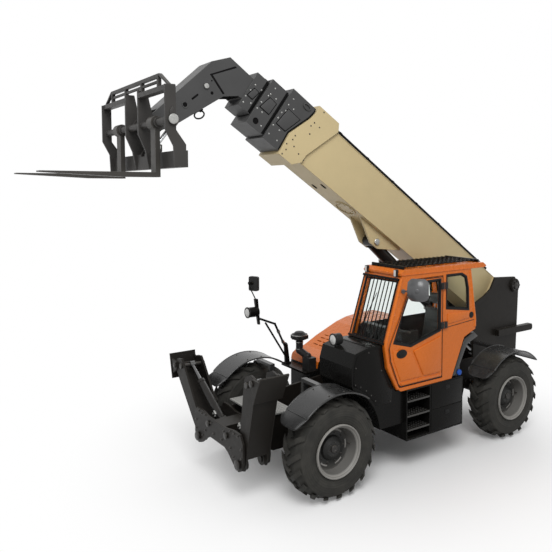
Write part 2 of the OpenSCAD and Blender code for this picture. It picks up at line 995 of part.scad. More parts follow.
module boom_third() {
  end = [[-316, -118], [-288, -830], [-1, -830], [-19, -118]];
  color("#484848")
    boom()
      union() {
        tube(500, head3 - 150, s3_top, s3_bot, s3_y, tube_wall);
        head(head3, end, s3_y + 49, s3_top - tube_wall, s3_bot + tube_wall, s3_y - tube_wall);
        pads(500, 700, s2_top - tube_wall, s2_bot + tube_wall, s2_y - tube_wall,
          s3_top, s3_bot, s3_y, slip, -1);
        pads(head3 - 210, head3 - 30, s3_top - tube_wall, s3_bot + tube_wall, s3_y - tube_wall,
          s4_top, s4_bot, s4_y, -1, slip);
      }
}

module boom_fourth() {
  end = [[-205, -182], [-187, -708], [0, -708], [0, -182]];
  color("#484848")
    boom()
      union() {
        tube(700, head4 - 150, s4_top, s4_bot, s4_y, tube_wall);
        translate([head4, 0, 0])
          side(end, -s4_y - 48, s4_y + 48);
        pads(700, 880, s3_top - tube_wall, s3_bot + tube_wall, s3_y - tube_wall,
          s4_top, s4_bot, s4_y, slip, -1);
      }
}

module boom_nose() {
  cheek = [[0, -290], [410, -280], [580, -490], [845, -1530], [835, -1640], [690, -1680],
    [525, -1415], [215, -745], [50, -610], [0, -610]];
  roof = [[0, -290], [410, -280], [580, -490], [815, -1412], [790, -1412], [558, -498], [400, -302], [0, -312]];
  color("#484848")
    boom()
      difference() {
        union() {
          translate([head4, 0, 0]) {
            for (s = [-1, 1])
              flip(s < 0)
                side(cheek, nose_y - nose_wall, nose_y);
            side(roof, -nose_y + 1, nose_y - 1);
            box([0, -nose_y + 1, -610], [25, nose_y - 1, -291]);
          }
          for (s = [-1, 1])
            flip(s < 0)
              bar_y(tx, tz, 80, nose_y - 40, nose_y + 5);
          bar_y(tilt_x, tilt_z, cyl_pin, -nose_y - 15, nose_y + 15);
        }
        bar_y(tx, tz, nose_pin_r + fit, -nose_y - 60, nose_y + 60);
      }
}

module nose_pin() {
  color("#b8b8b4")
    tool()
      bar_y(0, 0, nose_pin_r, -nose_y - 75, nose_y + 75);
}

// carriage and forks

module carriage_upright(y0, y1) {
  side([[-60, -70], [-60, 70], [20, 105], [80, 380], [190, 380], [190, -120], [110, -300], [70, -520],
    [-40, -520], [-20, -300]], y0, y1);
}

module fork_carriage() {
  w = carriage_w / 2;
  plate = [[90, 340], [210, 340], [210, -130], [120, -300], [110, -520], [-20, -520], [-20, -280],
    [90, -130]];
  color("#2b2b2b")
    tool()
      difference() {
        union() {
          for (s = [-1, 1])
            flip(s < 0) {
              side(plate, w - 25, w);
              difference() {
                union() {
                  carriage_upright(nose_y + 15, nose_y + 50);
                  bar_y(0, 0, 105, nose_y + 12, nose_y + 55);
                }
              }
              side([[-40, -520], [60, -340], [-40, -190], [-150, -220], [-150, -300], [-40, -420]], 56, 86);
              box([95, nose_y + 16, 290], [190, w - 1, 345]);
              box([-40, 56, -366], [60, w - 1, -340]);
            }
          box([-40, -w + 1, -520], [60, w - 1, -365]);
          bar_y(130, -20, 40, -w - 25, w + 25);
          for (y = [-770, -270, 270, 770])
            box([130, y - 20, 340], [170, y + 20, 460]);
          box([130, -790, 450], [170, 790, 490]);
          for (s = [-1, 1])
            flip(s < 0)
              across([[1030, 340], [1070, 340], [810, 490], [760, 490]], 132, 168);
        }
        bar_y(0, 0, nose_pin_r + fit, -nose_y - 80, nose_y + 80);
      }
}

module fork() {
  z = -620;
  difference() {
    union() {
      box([100, -fork_w / 2, z], [100 + fork_t, fork_w / 2, 30]);
      bar_y(130, -20, 75, -fork_w / 2, fork_w / 2);
      side([[100, z], [520, z], [140 + fork_len, z + fork_t - 14], [140 + fork_len, z + fork_t],
        [100, z + fork_t]], -fork_w / 2, fork_w / 2);
    }
    bar_y(130, -20, 40.3, -fork_w, fork_w);
  }
}

module forks() {
  color("#3a3a3a")
    tool()
      for (s = [-1, 1])
        translate([0, s * fork_gap / 2, 0])
          fork();
}

// lift cylinder, barrel on the boom and rod down to the frame

module lift_barrel() {
  color("#242322")
    lift()
      difference() {
        union() {
          bar_x(0, 0, 95, 60, 1950);
          bar_y(0, 0, 80, -97, 97);
        }
        bar_y(0, 0, lift_pin + fit, -100, 100);
        bar_x(0, 0, 50.3, 240, 1960);
      }
}

module lift_rod() {
  color("#c8c8c6")
    lift()
      union() {
        bar_x(0, 0, 50, 1080, lift_rest - 70);
        difference() {
          bar_y(lift_rest, 0, 85, -48, 48);
          bar_y(lift_rest, 0, 50.3, -50, 50);
        }
      }
}

// tilt cylinder inside the nose

module tilt_barrel() {
  color("#242322")
    tilt()
      difference() {
        union() {
          bar_x(0, 0, 50, 30, 690);
          bar_y(0, 0, 52, -40, 40);
        }
        bar_y(0, 0, cyl_pin + fit, -50, 50);
        bar_x(0, 0, 38, 120, 660);
        bar_x(0, 0, 25.3, 600, 700);
      }
}

module tilt_rod() {
  color("#c8c8c6")
    tilt()
      union() {
        bar_x(0, 0, 25, 350, tilt_rest - 20);
        bar_x(0, 0, 37.5, 345, 395);
        difference() {
          bar_y(tilt_rest, 0, 45, -36, 36);
          bar_y(tilt_rest, 0, 25, -40, 40);
        }
      }
}

// stabilizer arms and cylinders

module stab_arm() {
  x0 = stab_x0;
  x1 = stab_x1;
  plate = [[-80, -60], [80, -60], [web_out, 40], [web_out, arm_len - 40], [50, arm_len + 20],
    [-60, arm_len + 20], [-170, arm_len - 60], [-170, arm_len - 210], [-85, 60]];
  difference() {
    union() {
      across(plate, x0, x0 + stab_plate);
      across(plate, x1 - stab_plate, x1);
      box([x0 + 1, web_out - 25, 120], [x1 - 1, web_out, arm_len - 60]);
      bar_x(0, 0, 85, x0, x0 + 60);
      bar_x(0, 0, 85, x1 - 60, x1);
      bar_x(40, arm_len - 40, 30, x0 - 34, x1 + 34);
    }
    bar_x(0, 0, stab_pin + fit, x0 - 50, x1 + 50);
  }
}

// foot pad on the outer side, swung about its pin
module stab_pad(swing) {
  x0 = stab_x0;
  x1 = stab_x1;
  translate([0, 40, arm_len - 40])
    rotate([swing, 0, 0]) {
      box([stab_xm - 205, pad_off, -pad_w / 2], [stab_xm + 205, pad_off + 25, pad_w / 2]);
      for (x = [x0 - 24, x1])
        across([[-40, -45], [-40, 45], [pad_off + 1, 120], [pad_off + 1, -120]], x, x + 24);
    }
}

module stabilizer_left() {
  color("#2a2724")
    arm(lean_left)
      union() {
        stab_arm();
        stab_pad(-12);
      }
}

module stabilizer_right() {
  color("#2a2724")
    mirror([0, 1, 0])
      arm(lean_right)
        union() {
          stab_arm();
          stab_pad(30);
        }
}

module stab_cyl(lean) {
  translate([stab_xm, cyl_y, cyl_z])
    rotate([-q_turn(lean), 0, 0])
      children();
}

module stab_barrel() {
  difference() {
    union() {
      translate([0, 0, 30])
        cylinder(r = 52, h = 730);
      rotate([0, 90, 0])
        cylinder(r = 52, h = 100, center = true);
    }
    rotate([0, 90, 0])
      cylinder(r = cyl_pin + fit, h = 120, center = true);
    translate([0, 0, 85])
      cylinder(r = 28.3, h = 700);
  }
}

module stab_rod(len) {
  start = 100 + len - q_len(lean_left);
  union() {
    translate([0, 0, start])
      cylinder(r = 28, h = len - start - 40);
    translate([0, 0, len])
      rotate([0, 90, 0])
        difference() {
          cylinder(r = 50, h = 70, center = true);
          cylinder(r = 26, h = 80, center = true);
        }
  }
}

module stab_barrel_left() {
  color("#242322")
    stab_cyl(lean_left)
      stab_barrel();
}

module stab_rod_left() {
  color("#c8c8c6")
    stab_cyl(lean_left)
      stab_rod(q_len(lean_left));
}

module stab_barrel_right() {
  color("#242322")
    mirror([0, 1, 0])
      stab_cyl(lean_right)
        stab_barrel();
}

module stab_rod_right() {
  color("#c8c8c6")
    mirror([0, 1, 0])
      stab_cyl(lean_right)
        stab_rod(q_len(lean_right));
}

main_frame();
counterweight();
stabilizer_frame();
front_deck();
front_axle();
rear_axle();
cab_frame();
cab_glass();
cab_guard();
operator_seat();
cab_controls();
front_cowl();
headlamp();
step_box();
front_fenders();
rear_fenders();
engine_bay();
engine_block();
air_intake();
right_post();
cab_mirror();
engine_hood();
cab_door();
door_glass();
boom_base();
hose_tray();
boom_second();
boom_third();
boom_fourth();
boom_nose();
nose_pin();
fork_carriage();
forks();
lift_barrel();
lift_rod();
tilt_barrel();
tilt_rod();
stabilizer_left();
stabilizer_right();
stab_barrel_left();
stab_rod_left();
stab_barrel_right();
stab_rod_right();
knuckle_fl();
knuckle_fr();
knuckle_rl();
knuckle_rr();
tyre_fl();
tyre_fr();
tyre_rl();
tyre_rr();
rim_fl();
rim_fr();
rim_rl();
rim_rr();
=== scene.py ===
# A telehandler: a four-wheeled loader with a four-section telescopic boom, fork carriage, cab on its
# left, engine on its right and two stabilizers in front. Metres, x forward, y to the left, ground at 0.
import math

import bpy
from mathutils import Matrix, Vector


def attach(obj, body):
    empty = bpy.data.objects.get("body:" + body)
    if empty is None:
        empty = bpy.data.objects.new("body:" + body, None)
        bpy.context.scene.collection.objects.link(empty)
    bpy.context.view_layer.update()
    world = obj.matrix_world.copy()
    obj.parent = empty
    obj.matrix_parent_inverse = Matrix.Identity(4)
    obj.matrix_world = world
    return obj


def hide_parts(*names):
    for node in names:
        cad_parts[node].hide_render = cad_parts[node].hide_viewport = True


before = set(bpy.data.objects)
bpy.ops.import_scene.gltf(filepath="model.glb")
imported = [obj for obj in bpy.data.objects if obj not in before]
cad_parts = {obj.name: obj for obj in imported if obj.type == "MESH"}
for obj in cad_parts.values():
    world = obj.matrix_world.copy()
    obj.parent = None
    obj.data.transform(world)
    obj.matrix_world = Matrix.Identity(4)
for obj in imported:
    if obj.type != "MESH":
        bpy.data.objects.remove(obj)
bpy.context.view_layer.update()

# The view of the photograph: the machine from its front left, the camera about four metres up
# and level enough that the boom runs up to the left across the frame.
bpy.ops.object.select_all(action="DESELECT")
bpy.ops.object.camera_add(
    location=(6.504, 7.312, 3.990),
    rotation=(math.radians(86.329), 0, math.radians(144.263)),
)
camera = bpy.context.object
camera.name = "photo_camera"
camera.data.sensor_fit = "HORIZONTAL"
camera.data.sensor_width = 36
camera.data.lens = 40.71
camera.data.shift_x = -0.0736
camera.data.shift_y = -0.0853
bpy.context.scene.camera = camera
bpy.context.scene.view_settings.view_transform = "Standard"

# A bright plain studio: an even sky, one large soft lamp high on the camera's side and a weaker one
# behind, over a white floor that fades into the white background and throws little light back up.


def add(tree, kind, *feeds, **settings):
    """Adds a shader node: feeds fill its first sockets, settings its named sockets and its options."""
    node = tree.nodes.new("ShaderNode" + kind)
    for key, value in [*settings.items(), *enumerate(feeds)]:
        if isinstance(key, str) and key[0].islower():
            setattr(node, key, value)
        else:
            feed(tree, value, node.inputs[key.replace("_", " ") if isinstance(key, str) else key])
    return node


def feed(tree, value, socket):
    """Links a node or one of its outputs to a socket, or sets the socket's value."""
    if isinstance(value, bpy.types.Node):
        value = value.outputs[0]
    if isinstance(value, bpy.types.NodeSocket):
        tree.links.new(value, socket)
    else:
        socket.default_value = value


sky = bpy.data.worlds.new("studio")
bpy.context.scene.world = sky
sky.use_nodes = True
tree = sky.node_tree
tree.nodes.clear()
even = add(tree, "Background", (1, 1, 1, 1), 0.50)
white = add(tree, "Background", (1, 1, 1, 1), 1.0)
ray = add(tree, "LightPath").outputs
seen = add(tree, "Math", ray["Is Camera Ray"], ray["Is Glossy Ray"], operation="ADD")
seen_all = add(tree, "Math", seen, ray["Is Transmission Ray"], operation="ADD", use_clamp=True)
add(tree, "OutputWorld", add(tree, "MixShader", seen_all, even, white))

for lamp_name, place, watts, width in (
    ("key_lamp", (6.0, 8.0, 11.0), 1140, 6.0),
    ("back_lamp", (-7.0, -6.0, 9.0), 260, 6.0),
):
    bpy.ops.object.light_add(type="AREA", location=place)
    lamp = bpy.context.object
    lamp.name = lamp_name
    lamp.data.energy = watts
    lamp.data.size = width
    lamp.rotation_euler = (Vector((0, 0, 1.6)) - Vector(place)).to_track_quat("-Z", "Y").to_euler()

bpy.ops.object.select_all(action="DESELECT")
bpy.ops.mesh.primitive_plane_add(size=160, location=(0, 0, -0.001))
floor = bpy.context.object
floor.name = "studio_floor"
bpy.ops.object.transform_apply(location=True, rotation=True, scale=True)
pale = bpy.data.materials.new("floor_white")
pale.use_nodes = True
floor.data.materials.append(pale)
tree = pale.node_tree
matt = tree.nodes["Principled BSDF"]
matt.inputs["Base Color"].default_value = (0.93, 0.93, 0.93, 1)
matt.inputs["Roughness"].default_value = 0.9
reach = add(tree, "VectorMath", add(tree, "TexCoord").outputs["Object"], operation="LENGTH")
fade = add(
    tree, "MapRange", reach.outputs["Value"], From_Min=1.2, From_Max=5.0, interpolation_type="SMOOTHSTEP",
)
blend = add(tree, "MixShader", fade, matt, add(tree, "Emission", Strength=1.0))
dull = add(tree, "BsdfDiffuse", (0.34, 0.34, 0.34, 1))
bounced = add(tree, "MixShader", add(tree, "LightPath").outputs["Is Diffuse Ray"], blend, dull)
feed(tree, bounced, tree.nodes["Material Output"].inputs["Surface"])

# Main frame and boom tower: two heavy flame-cut plates with cross members, welded up, shot-blasted and
# sprayed black. The boom's pivot pin ends in a boss outside each plate, held by a bolted keeper ring.


def new_finish(name, **sockets):
    """A material with its node tree, its shader and the object's own coordinates."""
    paint = bpy.data.materials.new(name)
    paint.use_nodes = True
    skin = paint.node_tree.nodes["Principled BSDF"]
    for key, value in sockets.items():
        skin.inputs[key.replace("_", " ")].default_value = value
    return paint, paint.node_tree, skin, add(paint.node_tree, "TexCoord").outputs["Object"]


def ramp(tree, source, low, high, *between):
    """Colours along a value, each stop a position and a colour."""
    node = add(tree, "ValToRGB", source)
    stops = node.color_ramp.elements
    for stop, (place, colour) in zip(stops, (low, high)):
        stop.position = place
        stop.color = (*colour, 1)
    for place, colour in between:
        stops.new(place).color = (*colour, 1)
    return node


def over(tree, amount, under, colour):
    """One colour laid over another by an amount."""
    node = add(tree, "Mix", amount, data_type="RGBA")
    feed(tree, under, node.inputs[6])
    feed(tree, (*colour, 1), node.inputs[7])
    return node.outputs[2]


def dressed(paint, tree, skin, colour, rough, normal=None):
    """Joins colour, roughness and relief to a finish's shader."""
    feed(tree, colour, skin.inputs["Base Color"])
    feed(tree, rough, skin.inputs["Roughness"])
    if normal:
        feed(tree, normal, skin.inputs["Normal"])
    return paint


def toned(colour, factor):
    """A colour made lighter or darker."""
    return [min(1, c * factor) for c in colour]


def sprayed_paint(
    name, colour, gloss, shift=0.08, dust=0.10, wear_and_highlight=0.35, edge=(0.30, 0.28, 0.26), bump=0.05, shine=0.35,
):
    """Sprayed paint: slow shifts of tone, dust on upper faces, paler edges (rubbed paint and painted
    highlight), fine orange peel.
    """
    paint, tree, skin, where = new_finish(name, Specular_IOR_Level=shine)
    cloud = add(tree, "TexNoise", where, Scale=1.9, Detail=7, Roughness=0.62)
    grime = add(tree, "TexNoise", where, Scale=13, Detail=8)
    peel = add(tree, "TexNoise", where, Scale=240)
    tone = ramp(tree, cloud, (0.30, toned(colour, 1 - shift)), (0.72, toned(colour, 1 + shift)))
    normal = add(tree, "NewGeometry").outputs["Normal"]
    upward = add(tree, "SeparateXYZ", normal).outputs["Z"]
    level = add(tree, "MapRange", upward, From_Min=0.35, From_Max=1.0, To_Max=2 * dust)
    film = add(tree, "Math", level, grime, operation="MULTIPLY")
    dusty = over(tree, film, tone, (0.42, 0.38, 0.32))
    # Paler edges: partly rubbed paint, partly a painted highlight for the light that rounded edges catch.
    soft = add(tree, "Bevel", 0.007, samples=4)
    bend = add(tree, "VectorMath", soft, normal, operation="DOT_PRODUCT").outputs["Value"]
    rub_and_highlight = add(tree, "MapRange", bend, From_Min=0.985, From_Max=0.80, To_Max=wear_and_highlight)
    edged = over(tree, add(tree, "Math", rub_and_highlight, grime, operation="MULTIPLY"), dusty, edge)
    rough = add(tree, "MapRange", grime, To_Min=max(0.05, gloss - 0.08), To_Max=min(0.95, gloss + 0.14))
    raised = add(tree, "Bump", Strength=bump, Distance=0.002, Height=peel, Normal=soft)
    return dressed(paint, tree, skin, edged, rough, raised)


def bare_metal(name, colour, gloss, scale=60, metal=1.0):
    """Plated or machined steel with fine scratches and slightly uneven polish."""
    steel, tree, skin, where = new_finish(name, Metallic=metal)
    scratch = add(tree, "TexNoise", where, Scale=scale, Detail=8)
    tone = ramp(tree, scratch, (0.25, toned(colour, 0.78)), (0.75, toned(colour, 1.08)))
    rough = add(tree, "MapRange", scratch, To_Min=max(0.04, gloss - 0.10), To_Max=gloss + 0.14)
    raised = add(tree, "Bump", Strength=0.06, Distance=0.001, Height=scratch)
    return dressed(steel, tree, skin, tone, rough, raised)


def at(x, y, z):
    """A shift."""
    return Matrix.Translation((x, y, z))


def spun(degrees, axis):
    """A turn about one axis."""
    return Matrix.Rotation(math.radians(degrees), 4, axis)


def clear():
    """Leaves edit mode with nothing selected."""
    if bpy.context.object and bpy.context.object.mode != "OBJECT":
        bpy.ops.object.mode_set(mode="OBJECT")
    bpy.ops.object.select_all(action="DESELECT")


def take(piece):
    """Makes one piece the only one selected."""
    clear()
    piece.select_set(True)
    bpy.context.view_layer.objects.active = piece
    return piece


def edit_all():
    """Opens the active piece with everything selected."""
    bpy.ops.object.mode_set(mode="EDIT")
    bpy.ops.mesh.select_all(action="SELECT")


def close_outward():
    """Turns every face of the open piece outward and closes it."""
    bpy.ops.mesh.select_all(action="SELECT")
    bpy.ops.mesh.normals_make_consistent(inside=False)
    bpy.ops.object.mode_set(mode="OBJECT")


def soften(piece, width, steps=2):
    """Rounds every sharp edge and shades the rest smooth."""
    take(piece)
    rounding = piece.modifiers.new("rounding", "BEVEL")
    rounding.width = width
    rounding.segments = steps
    rounding.limit_method = "ANGLE"
    rounding.angle_limit = math.radians(32)
    bpy.ops.object.modifier_apply(modifier="rounding")
    bpy.ops.object.shade_smooth_by_angle(angle=math.radians(38))
    return piece


def plate(outline, thick, rounding=0.0, steps=2):
    """A flat plate cut to an outline in x and y, from z = 0 up to its thickness."""
    clear()
    bpy.ops.mesh.primitive_circle_add(vertices=len(outline), radius=1, fill_type="NGON")
    sheet = bpy.context.object
    for corner, (x, y) in zip(sheet.data.vertices, outline):
        corner.co = (x, y, 0)
    edit_all()
    bpy.ops.mesh.extrude_region_move(TRANSFORM_OT_translate={"value": (0, 0, thick)})
    close_outward()
    if rounding:
        soften(sheet, rounding, steps)
    return sheet


def turned(section, sides=32):
    """A turned part: a closed section of radius and height, spun round the z axis."""
    clear()
    bpy.ops.mesh.primitive_circle_add(vertices=len(section), radius=1, fill_type="NOTHING")
    part = bpy.context.object
    for corner, (radius, height) in zip(part.data.vertices, section):
        corner.co = (radius, 0, height)
    edit_all()
    bpy.ops.mesh.spin(steps=sides, angle=math.tau, center=(0, 0, 0), axis=(0, 0, 1))
    bpy.ops.mesh.select_all(action="SELECT")
    bpy.ops.mesh.remove_doubles(threshold=0.00002)
    bpy.ops.mesh.dissolve_degenerate(threshold=0.00002)
    close_outward()
    bpy.ops.object.shade_smooth_by_angle(angle=math.radians(38))
    return part


def joined(parts):
    """Several parts made one piece."""
    clear()
    for part in parts:
        part.select_set(True)
    bpy.context.view_layer.objects.active = parts[0]
    if len(parts) > 1:
        bpy.ops.object.join()
    return bpy.context.object


def row_of(model, places):
    """Copies one finished model to every place as one piece; the model itself goes."""
    made = []
    for where in places:
        copy = model.copy()
        copy.data = model.data.copy()
        bpy.context.collection.objects.link(copy)
        copy.data.transform(where)
        if where.determinant() < 0:
            copy.data.flip_normals()
        made.append(copy)
    bpy.data.objects.remove(model)
    return joined(made)


def fixed(piece, name, body, finish, where=None):
    """Puts a finished piece in its place on a body of the machine, with its name and finish."""
    if where is not None:
        piece.data.transform(where)
        if where.determinant() < 0:
            piece.data.flip_normals()
    piece.name = name
    piece.data.name = name
    piece.data.materials.clear()
    piece.data.materials.append(finish)
    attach(piece, body)
    return piece


def coat(finish, *names):
    """Gives CAD solids their finish."""
    for name in names:
        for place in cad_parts[name].material_slots:
            place.material = finish


def looking(direction):
    """Turns +z to a direction."""
    return Vector(direction).to_track_quat("Z", "Y").to_matrix().to_4x4()


def spots(points, direction, base=Matrix()):
    """Places on a face that looks in one direction."""
    return [base @ at(*p) @ looking(direction) for p in points]


def ring_places(count, radius, height=0.0, start=0.0):
    """Places spread round the z axis."""
    return [
        Matrix.Rotation(start + math.tau * i / count, 4, "Z") @ at(radius, 0, height)
        for i in range(count)
    ]


def hex_bolt(size):
    """A hexagon bolt head with a chamfered top, on a washer."""
    clear()
    bpy.ops.mesh.primitive_cylinder_add(
        vertices=6, radius=size * 0.58, depth=size * 0.56, location=(0, 0, size * 0.40),
    )
    head = bpy.context.object
    bpy.ops.object.transform_apply(location=True)
    for face in head.data.polygons:
        face.select = face.normal.z > 0.9
    bpy.ops.object.mode_set(mode="EDIT")
    bpy.ops.mesh.select_mode(type="FACE")
    bpy.ops.mesh.inset(thickness=size * 0.10)
    bpy.ops.transform.translate(value=(0, 0, size * 0.07))
    bpy.ops.object.mode_set(mode="OBJECT")
    washer = turned([
        (0, 0), (size * 0.92, 0), (size * 0.92, size * 0.10), (size * 0.85, size * 0.14),
        (0, size * 0.14),
    ], 14)
    return joined([head, washer])


def rounded_box(w, h, r, steps=5):
    """Outline of a rectangle with round corners about the origin."""
    points = []
    for cx, cy, start in (
        (w / 2 - r, h / 2 - r, 0), (r - w / 2, h / 2 - r, 90), (r - w / 2, r - h / 2, 180),
        (w / 2 - r, r - h / 2, 270),
    ):
        for i in range(steps + 1):
            a = math.radians(start + 90 * i / steps)
            points.append((cx + r * math.cos(a), cy + r * math.sin(a)))
    return points


frame_black = sprayed_paint(
    "frame_black_paint", (0.0120, 0.0104, 0.0088), 0.40, shift=0.18, dust=0.02, edge=(0.09, 0.08, 0.07),
    shine=0.14,
)
bolt_black = sprayed_paint(
    "bolt_black_paint", (0.022, 0.020, 0.018), 0.36, wear_and_highlight=0.5, edge=(0.20, 0.19, 0.18), shine=0.35,
)
zinc = bare_metal("zinc_plated", (0.40, 0.40, 0.385), 0.36)


def bolted(size, places, name, body="chassis", finish=bolt_black):
    """Bolt heads at several places, as one piece."""
    return fixed(row_of(hex_bolt(size), places), name, body, finish)


coat(frame_black, "main_frame", "counterweight", "stabilizer_frame", "front_axle", "rear_axle")
coat(frame_black, "knuckle_fl", "knuckle_fr", "knuckle_rl", "knuckle_rr")

sides = (("left", 1), ("right", -1))
axle_x, hub_z, half_track = 1.755, 0.656, 1.0  # axles before and behind the origin, wheel centres
drawing_z = -0.042  # the side view's drawings are measured from the rear axle and this height
pivot = (-2.805, 0, 2.278)
from_rear_axle = at(-axle_x, 0, drawing_z)
for side, sign in sides:
    boss = at(pivot[0], sign * 0.43, pivot[2]) @ looking((0, sign, 0))
    keeper = turned(
        [(0.063, 0), (0.108, 0), (0.108, 0.010), (0.102, 0.015), (0.069, 0.015), (0.063, 0.010)], 48,
    )
    fixed(keeper, "pivot_keeper_" + side, "chassis", frame_black, boss)
    bolted(0.020, [boss @ m for m in ring_places(6, 0.086, 0.015)], "pivot_bolts_" + side)
    dome = turned([
        (0, 0.02), (0.058, 0.02), (0.058, 0.024), (0.050, 0.031), (0.018, 0.033), (0.016, 0.028),
        (0, 0.027),
    ], 40)
    fixed(dome, "pivot_pin_end_" + side, "chassis", bolt_black, boss)
    pads = [
        (x + dx, sign * 0.41, z)
        for x in (-axle_x, axle_x) for dx in (-0.09, 0, 0.09) for z in (0.69, 0.755)
    ]
    bolted(0.020, spots(pads, (0, sign, 0)), "axle_pad_bolts_" + side)

# Lamp bars at the tower's rear: welded channels that carry the red tail lamps, each a moulded lens
# in a black rubber bezel.


def lens_plastic(name, colour):
    """Moulded lamp lens: clear colour with fine ribs and a wet gloss."""
    lens, tree, skin, where = new_finish(name, Coat_Weight=0.6, IOR=1.49)
    ribs = add(tree, "TexWave", where, bands_direction="Y", Scale=22, Distortion=0.4).outputs["Fac"]
    tone = ramp(tree, ribs, (0, toned(colour, 0.80)), (1, colour))
    rough = add(tree, "MapRange", ribs, To_Min=0.06, To_Max=0.20)
    raised = add(tree, "Bump", Strength=0.25, Distance=0.002, Height=ribs)
    return dressed(lens, tree, skin, tone, rough, raised)


def moulded_plastic(name, colour, gloss, grain=420, bump=0.12, shine=0.14):
    """Moulded plastic or rubber: leather-like grain, faint swirls and scuffs."""
    plastic, tree, skin, where = new_finish(name, Specular_IOR_Level=shine)
    swirl = add(tree, "TexNoise", where, Scale=4.5, Detail=6)
    pores = add(tree, "TexVoronoi", where, Scale=grain)
    tone = ramp(tree, swirl, (0.28, toned(colour, 0.82)), (0.75, toned(colour, 1.25)))
    rough = add(tree, "MapRange", swirl, To_Min=max(0.05, gloss - 0.07), To_Max=gloss + 0.12)
    soft = add(tree, "Bevel", 0.005, samples=4)
    raised = add(tree, "Bump", Strength=bump, Distance=0.001, Height=pores, Normal=soft)
    return dressed(plastic, tree, skin, tone, rough, raised)


def slab(width, height, corner, thick, rounding=0.0, steps=2):
    """A plate with round corners about the origin."""
    return plate(rounded_box(width, height, corner), thick, rounding, steps)


def trim(piece, name, finish, where=None):
    """A black fitting on the chassis."""
    return fixed(piece, name, "chassis", finish, where)


red_lens = lens_plastic("red_lens", (0.45, 0.012, 0.010))
black_rubber = moulded_plastic("black_rubber", (0.012, 0.012, 0.012), 0.60)
for side, sign in sides:
    tail = at(-3.225, sign * 0.445, 1.493) @ looking((-1, 0, 0))
    trim(slab(0.100, 0.080, 0.012, 0.012, 0.003), "tail_bezel_" + side, black_rubber, tail)
    fixed(slab(0.086, 0.066, 0.010, 0.026, 0.007), "tail_lens_" + side, "chassis", red_lens, tail)

# Axles: cast portal-type axles with a round differential housing. A bolted cover closes the housing,
# and the steering ram is clamped along the back of the tube.


def both_ends(half):
    """A turned section that is the same at both ends, from its upper half."""
    return [(radius, -height) for radius, height in reversed(half)] + half


for end, front in (("front", 1), ("rear", -1)):
    x = front * axle_x
    cover_spot = at(x + front * 0.112, 0, hub_z) @ looking((front, 0, 0))
    cover = turned([
        (0, 0), (0.168, 0), (0.168, 0.022), (0.150, 0.030), (0.128, 0.034), (0.095, 0.075),
        (0.045, 0.090), (0, 0.092),
    ], 48)
    fixed(cover, "diff_cover_" + end, "chassis", frame_black, cover_spot)
    bolted(0.016, [cover_spot @ m for m in ring_places(12, 0.150, 0.029)], "diff_bolts_" + end)
    ram = turned(both_ends([(0.031, 0.35), (0.036, 0.36), (0.036, 0.42), (0.030, 0.43), (0, 0.43)]), 28)
    ram_spot = at(x - 0.138, 0, hub_z) @ looking((0, 1, 0))
    fixed(ram, "steering_ram_" + end, "chassis", frame_black, ram_spot)

# Wheels: lugged tyres on pressed steel rims. The nuts clamp the dished disc to the hub, six hand holes
# are pressed in it, and a lock ring runs round the outer flange.


def from_hub(tree, where, centre):
    """The distance from a wheel's axis."""
    hub = add(tree, "Mapping", where, vector_type="TEXTURE", Location=centre)
    flat = add(tree, "VectorMath", hub, (1, 0, 1), operation="MULTIPLY")
    return add(tree, "VectorMath", flat, operation="LENGTH").outputs["Value"]


def tyre_rubber(name, centre):
    """Tyre rubber: brownish black, dusty between the lugs, with moulded rings round the sidewall."""
    rubber, tree, skin, where = new_finish(name, Specular_IOR_Level=0.2)
    radius = from_hub(tree, where, centre)
    dirt = add(tree, "TexNoise", where, Scale=7, Detail=9)
    fine = add(tree, "TexNoise", where, Scale=120)
    tone = ramp(tree, dirt, (0.32, (0.024, 0.0235, 0.021)), (0.70, (0.046, 0.044, 0.039)))
    waves = add(tree, "Math", radius, 210, operation="MULTIPLY")
    wall = add(tree, "MapRange", radius, From_Min=0.545, From_Max=0.535)
    rings = add(tree, "Math", add(tree, "Math", waves, operation="SINE"), wall, operation="MULTIPLY")
    height = add(tree, "Math", rings, fine, operation="ADD")
    raised = add(tree, "Bump", Strength=0.30, Distance=0.004, Height=height)
    rough = add(tree, "MapRange", dirt, To_Min=0.58, To_Max=0.85)
    return dressed(rubber, tree, skin, tone, rough, raised)


def rim_paint(name, centre):
    """Rim: grey paint, chipped and dusty; the dished disc darkens to near black towards the hub as
    painted shade, and narrow pale and dark rings at the flange are painted highlight and shade.
    """
    paint, tree, skin, where = new_finish(name, Specular_IOR_Level=0.3)
    dirt = add(tree, "TexNoise", where, Scale=16, Detail=8)
    wander = add(tree, "Math", dirt, 0.006, from_hub(tree, where, centre), operation="MULTIPLY_ADD")
    # Colour by distance from the axle: near black at the hub rising to grey is painted shade in the dish;
    # the narrow pale and dark rings near the flange are painted highlight and shade.
    shade_and_highlight_rings = ramp(
        tree, wander, (0, (0.012, 0.012, 0.011)), (1, (0.33, 0.32, 0.30)),
        (0.200, (0.014, 0.014, 0.013)), (0.262, (0.060, 0.058, 0.054)), (0.303, (0.16, 0.155, 0.145)),
        (0.318, (0.27, 0.26, 0.24)), (0.326, (0.13, 0.125, 0.115)), (0.334, (0.30, 0.29, 0.27)),
    )
    rough = add(tree, "MapRange", dirt, To_Min=0.36, To_Max=0.62)
    return dressed(paint, tree, skin, shade_and_highlight_rings, rough, add(tree, "Bevel", 0.004, samples=4))


def polar(radius, degrees, x=0, y=0):
    """A point at an angle round a centre."""
    return (x + radius * math.cos(math.radians(degrees)), y + radius * math.sin(math.radians(degrees)))


def oval(rx, ry, count, x=0, y=0):
    """Outline of an ellipse."""
    angles = [math.tau * i / count for i in range(count)]
    return [(x + rx * math.cos(a), y + ry * math.sin(a)) for a in angles]


def hoop(outline, z, radius):
    """A round bar closed on itself along a flat outline."""
    return bent_bar([(x, y, z) for x, y in outline], radius, closed=True)


